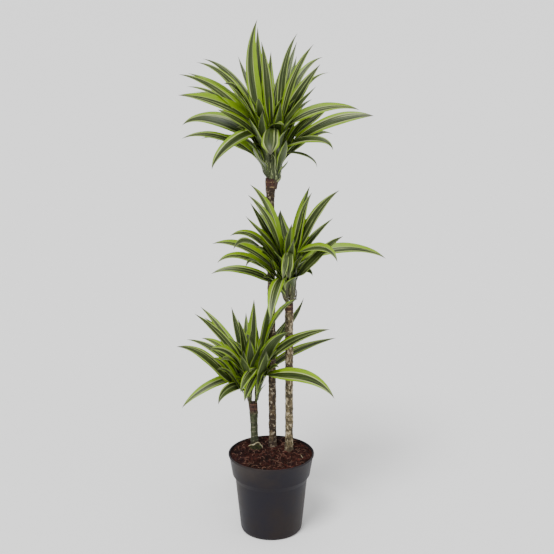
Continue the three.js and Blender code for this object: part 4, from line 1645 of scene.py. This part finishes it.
@dataclass
class SoilBed:
    """Coir and bark in crumbs over a low dome, with moss at the shortest cane's foot.

    Attributes:
        bank: How much higher the soil is at the pot's back.
    """

    pot: NurseryPot
    dome: float = 4
    relief: float = 1.8
    bank: float = 3.5
    sides: int = 96
    rings: int = 30
    sink: float = 1.2
    crumbs: int = 6400
    strands: int = 160
    gap: float = 0.3
    moss_centre: Span = (-44, 31)
    moss_spread: float = 17
    moss_blades: int = 720
    moss_heights: Span = (4.5, 9.0)
    moss_radius: float = 0.55
    crumb_sizes: Span = (1.2, 3.8)
    crumb_lifts: Span = (-0.8, 1.6)
    crumb_wear: float = 0.35
    crumb_tilts: Span = (-0.6, 0.6)
    strand_lengths: Span = (8, 22)
    strand_bends: Span = (-5, 5)
    strand_radii: Span = (0.25, 0.5)
    strand_lift: float = 1.6
    strand_points: int = 7
    crumb_seed: int = 4021
    strand_seed: int = 777
    moss_seed: int = 313

    def surface(self, x: float, y: float) -> float:
        """The height of the soil.

        Args:
            x: The place's distance to the right of the pot's axis.
            y: Its distance behind the axis.

        Returns:
            The height.
        """
        rim = self.pot.inner_radius(SOIL_EDGE)
        radius, angle = math.hypot(x, y), math.atan2(y, x)
        dome = self.dome * (1 - (radius / rim) ** 2)
        lumps = math.sin(radius * 0.21 + 3 * angle) * math.sin(7 * angle - radius * 0.09)
        lumps += 0.6 * math.sin(11 * angle + radius * 0.33)
        back = self.bank * float(smooth(30, 105, y))
        relief = self.relief * lumps * min(1, (rim - radius) / 12 + 0.3)
        return SOIL_EDGE + dome + back + relief

    def on_surface(self, x: float, y: float, lift: float) -> list[float]:
        """The point at a lift over the soil."""
        return [x, y, self.surface(x, y) + lift]

    def build(self) -> None:
        """Makes the bed with its crumbs, the strands, the moss and the roots."""
        self._build_bed()
        self._build_strands()
        self._build_moss()
        self._build_roots()

    def _build_bed(self) -> None:
        """Makes the soil's body and the crumbs on it."""
        pot, around = self.pot, ring(self.sides)
        inset = self.gap * 1.5
        rings = [around * (pot.base_radius - pot.wall - inset) + UP * (pot.wall + self.gap)]
        for level in (pot.bevel_height + pot.wall, pot.shoulder_foot, pot.collar_foot):
            rings.append(around * (pot.inner_radius(level) - inset) + UP * level)
        rim = pot.inner_radius(SOIL_EDGE) - self.gap * 2
        for i in range(self.rings, 0, -1):
            row = []
            for x, y, _ in rim * i / self.rings * around:
                rough = noise.fractal(Vector((x, y, 0)) * 0.16, 0.7, 2.0, 3)
                row.append(self.on_surface(x, y, (rough - 1) * self.sink))
            rings.append(np.array(row))
        skin = Skin("tone")
        ends = [UP * (pot.wall + self.gap), self.on_surface(0, 0, -self.sink)]
        skin.add_tube(rings, ends, tone=0.1)
        draw = Draw(self.crumb_seed)
        corners = crumb_corners()
        faces = hull_faces(corners)
        for _ in range(self.crumbs):
            radius = (rim - 2.5) * math.sqrt(draw.next())
            angle = draw.between(0, TURN)
            crumb = self._crumb(corners, draw)
            x, y = radius * math.cos(angle), radius * math.sin(angle)
            place = self.on_surface(x, y, draw.between(*self.crumb_lifts))
            skin.add(crumb + place, faces, tone=draw.next() ** 1.3)
        skin.piece("soil_bed", SoilFinish().make(), "soil", crease=20)

    def _crumb(self, corners: np.ndarray, draw: Draw) -> np.ndarray:
        """One angular crumb of bark.

        Args:
            corners: The corners of an even one.
            draw: The run of numbers that it is made from.

        Returns:
            Its corners, about its middle.
        """
        size = blend(*self.crumb_sizes, draw.next() ** 1.8)
        scale = np.array([size, size * draw.between(0.5, 0.9), size * draw.between(0.3, 0.6)])
        worn = np.array([draw.next() for _ in corners]) - 0.5
        tilts = [draw.between(*self.crumb_tilts) for _ in range(2)]
        turned = np.array(Euler((*tilts, draw.between(0, TURN))).to_matrix())
        return (corners * (1 + self.crumb_wear * worn)[:, None] * scale) @ turned.T

    def _build_strands(self) -> None:
        """Makes the loose coir strands."""
        skin = Skin("tone")
        draw = Draw(self.strand_seed)
        rim = self.pot.inner_radius(SOIL_EDGE) - 6
        for _ in range(self.strands):
            radius = rim * math.sqrt(draw.next())
            start = heading(draw.between(0, 360)) * radius
            course, bend = draw.between(0, 360), draw.between(*self.strand_bends)
            length, points = draw.between(*self.strand_lengths), []
            for i in range(self.strand_points):
                share = i / (self.strand_points - 1)
                x, y, _ = start + heading(course + bend * i * 3) * length * (share - 0.5)
                inward = min(1, rim / math.hypot(x, y))
                lift = self.strand_lift * (1 + math.sin(share * math.pi))
                points.append(self.on_surface(x * inward, y * inward, lift))
            radius = draw.between(*self.strand_radii)
            add_strand(skin, np.array(points), radius, draw.between(0.2, 1))
        finish = PlainFinish(
            "coir strand", "5a3528", "92705c", scale=300.0, rough=0.85, relief=0.0002
        )
        skin.piece("coir_strands", finish.make(), None, crease=60)

    def _build_moss(self) -> None:
        """Makes the cushion of moss in front of the shortest cane."""
        skin = Skin("tone")
        draw = Draw(self.moss_seed)
        for _ in range(self.moss_blades):
            reach = self.moss_spread * draw.next() ** 0.6
            angle = draw.between(0, TURN)
            x = self.moss_centre[0] + reach * math.cos(angle)
            y = self.moss_centre[1] + reach * math.sin(angle)
            foot = np.array(self.on_surface(x, y, 0.2))
            lean = heading(draw.between(0, 360)) * draw.between(0.5, 3.0)
            tall = UP * draw.between(*self.moss_heights) * (1 - 0.4 * reach / self.moss_spread)
            points = np.array([foot, foot + lean * 0.4 + tall * 0.6, foot + lean + tall])
            add_strand(skin, points, self.moss_radius, draw.next())
        finish = PlainFinish("moss", "181a06", "40431a", scale=240.0, rough=0.9, relief=0.0003)
        skin.piece("moss_cushion", finish.make(), None, crease=60)

    def _build_roots(self) -> None:
        """Makes the pale slivers of root, most of them at the shortest cane's foot."""
        skin = Skin("tone")
        for radius, route in ROOTS:
            points = np.array([self.on_surface(*place) for place in route])
            add_strand(skin, points, radius, 0.8)
        finish = PlainFinish(
            "pale root", "8b8361", "c3bb98", scale=160.0, rough=0.7, relief=0.0003
        )
        skin.piece("root_slivers", finish.make(), None, crease=60)


# ---- studio


@dataclass
class Studio:
    """A pale floor, soft light and the camera at the photograph's angle."""

    frame_pixels: float = 554
    focal_pixels: float = 1080.5
    sensor: float = 36
    camera_place: Point = (16, -2800, 1475)
    pitch_down: float = 14.8
    floor_size: float = 900000
    floor_drop: float = 0.5
    floor_grey: float = 0.92
    sky_strength: float = 0.8
    lamp_distance: float = 4
    view_reach: float = 1000

    def build(self) -> None:
        """Makes the floor, the lights and the camera."""
        self._build_floor()
        self._build_world()
        self._add_sun("key light", side=-25, height=60, strength=3.0, spread=22)
        self._add_sun("fill light", side=35, height=28, strength=0.5, spread=60)
        self._build_camera()

    def _build_floor(self) -> None:
        """Makes the floor just under the pot."""
        half = self.floor_size / 2
        corners = np.array([(-half, -half, 0), (half, -half, 0), (half, half, 0), (-half, half, 0)])
        skin = Skin()
        skin.add(corners - UP * self.floor_drop, [(0, 1, 2, 3)])
        floor = put_in_scene("floor", skin.mesh("floor"))
        grey = (self.floor_grey, self.floor_grey, self.floor_grey, 1.0)
        floor.data.materials.append(Shader("pale floor").finish(Base_Color=grey, Roughness=0.9))

    def _build_world(self) -> None:
        """Lights everything evenly from all sides."""
        world = bpy.data.worlds.new("studio")
        world.use_nodes = True
        backdrop = world.node_tree.nodes["Background"]
        backdrop.inputs["Color"].default_value = (1.0, 1.0, 1.0, 1.0)
        backdrop.inputs["Strength"].default_value = self.sky_strength
        bpy.context.scene.world = world

    def _add_sun(
        self, name: str, side: float, height: float, strength: float, spread: float
    ) -> None:
        """Adds one broad, distant light.

        Args:
            name: The light's name.
            side: Its compass angle to the right of the viewer, in degrees.
            height: Its height over the floor, in degrees.
            strength: Its strength.
            spread: How wide it looks from the plant, in degrees.
        """
        lamp = bpy.data.lights.new(name, "SUN")
        lamp.energy = strength
        lamp.angle = math.radians(spread)
        rise = math.radians(height)
        toward = Vector(heading(side - 90) * math.cos(rise) + UP * math.sin(rise))
        light = put_in_scene(name, lamp)
        light.rotation_euler = toward.to_track_quat("Z", "Y").to_euler()
        light.location = toward * self.lamp_distance

    def _build_camera(self) -> None:
        """Places the camera."""
        lens = bpy.data.cameras.new("camera")
        lens.sensor_width = self.sensor
        lens.lens = self.focal_pixels / self.frame_pixels * self.sensor
        lens.clip_end = self.view_reach
        camera = put_in_scene("camera", lens)
        camera.location = Vector(self.camera_place) * MM
        camera.rotation_euler = Euler((math.radians(90 - self.pitch_down), 0, 0))
        bpy.context.scene.camera = camera


# ---- the whole plant


def main() -> None:
    """Builds the pot, the soil, the plants and the studio."""
    logging.basicConfig(level=logging.INFO, format="%(message)s")
    pot = NurseryPot()
    pot.build()
    SoilBed(pot).build()
    leaf = LeafFinish().make()
    for plant in make_plants():
        Cane(plant).build()
        Crown(plant, leaf).build()
    Studio().build()


if __name__ == "__main__":
    main()
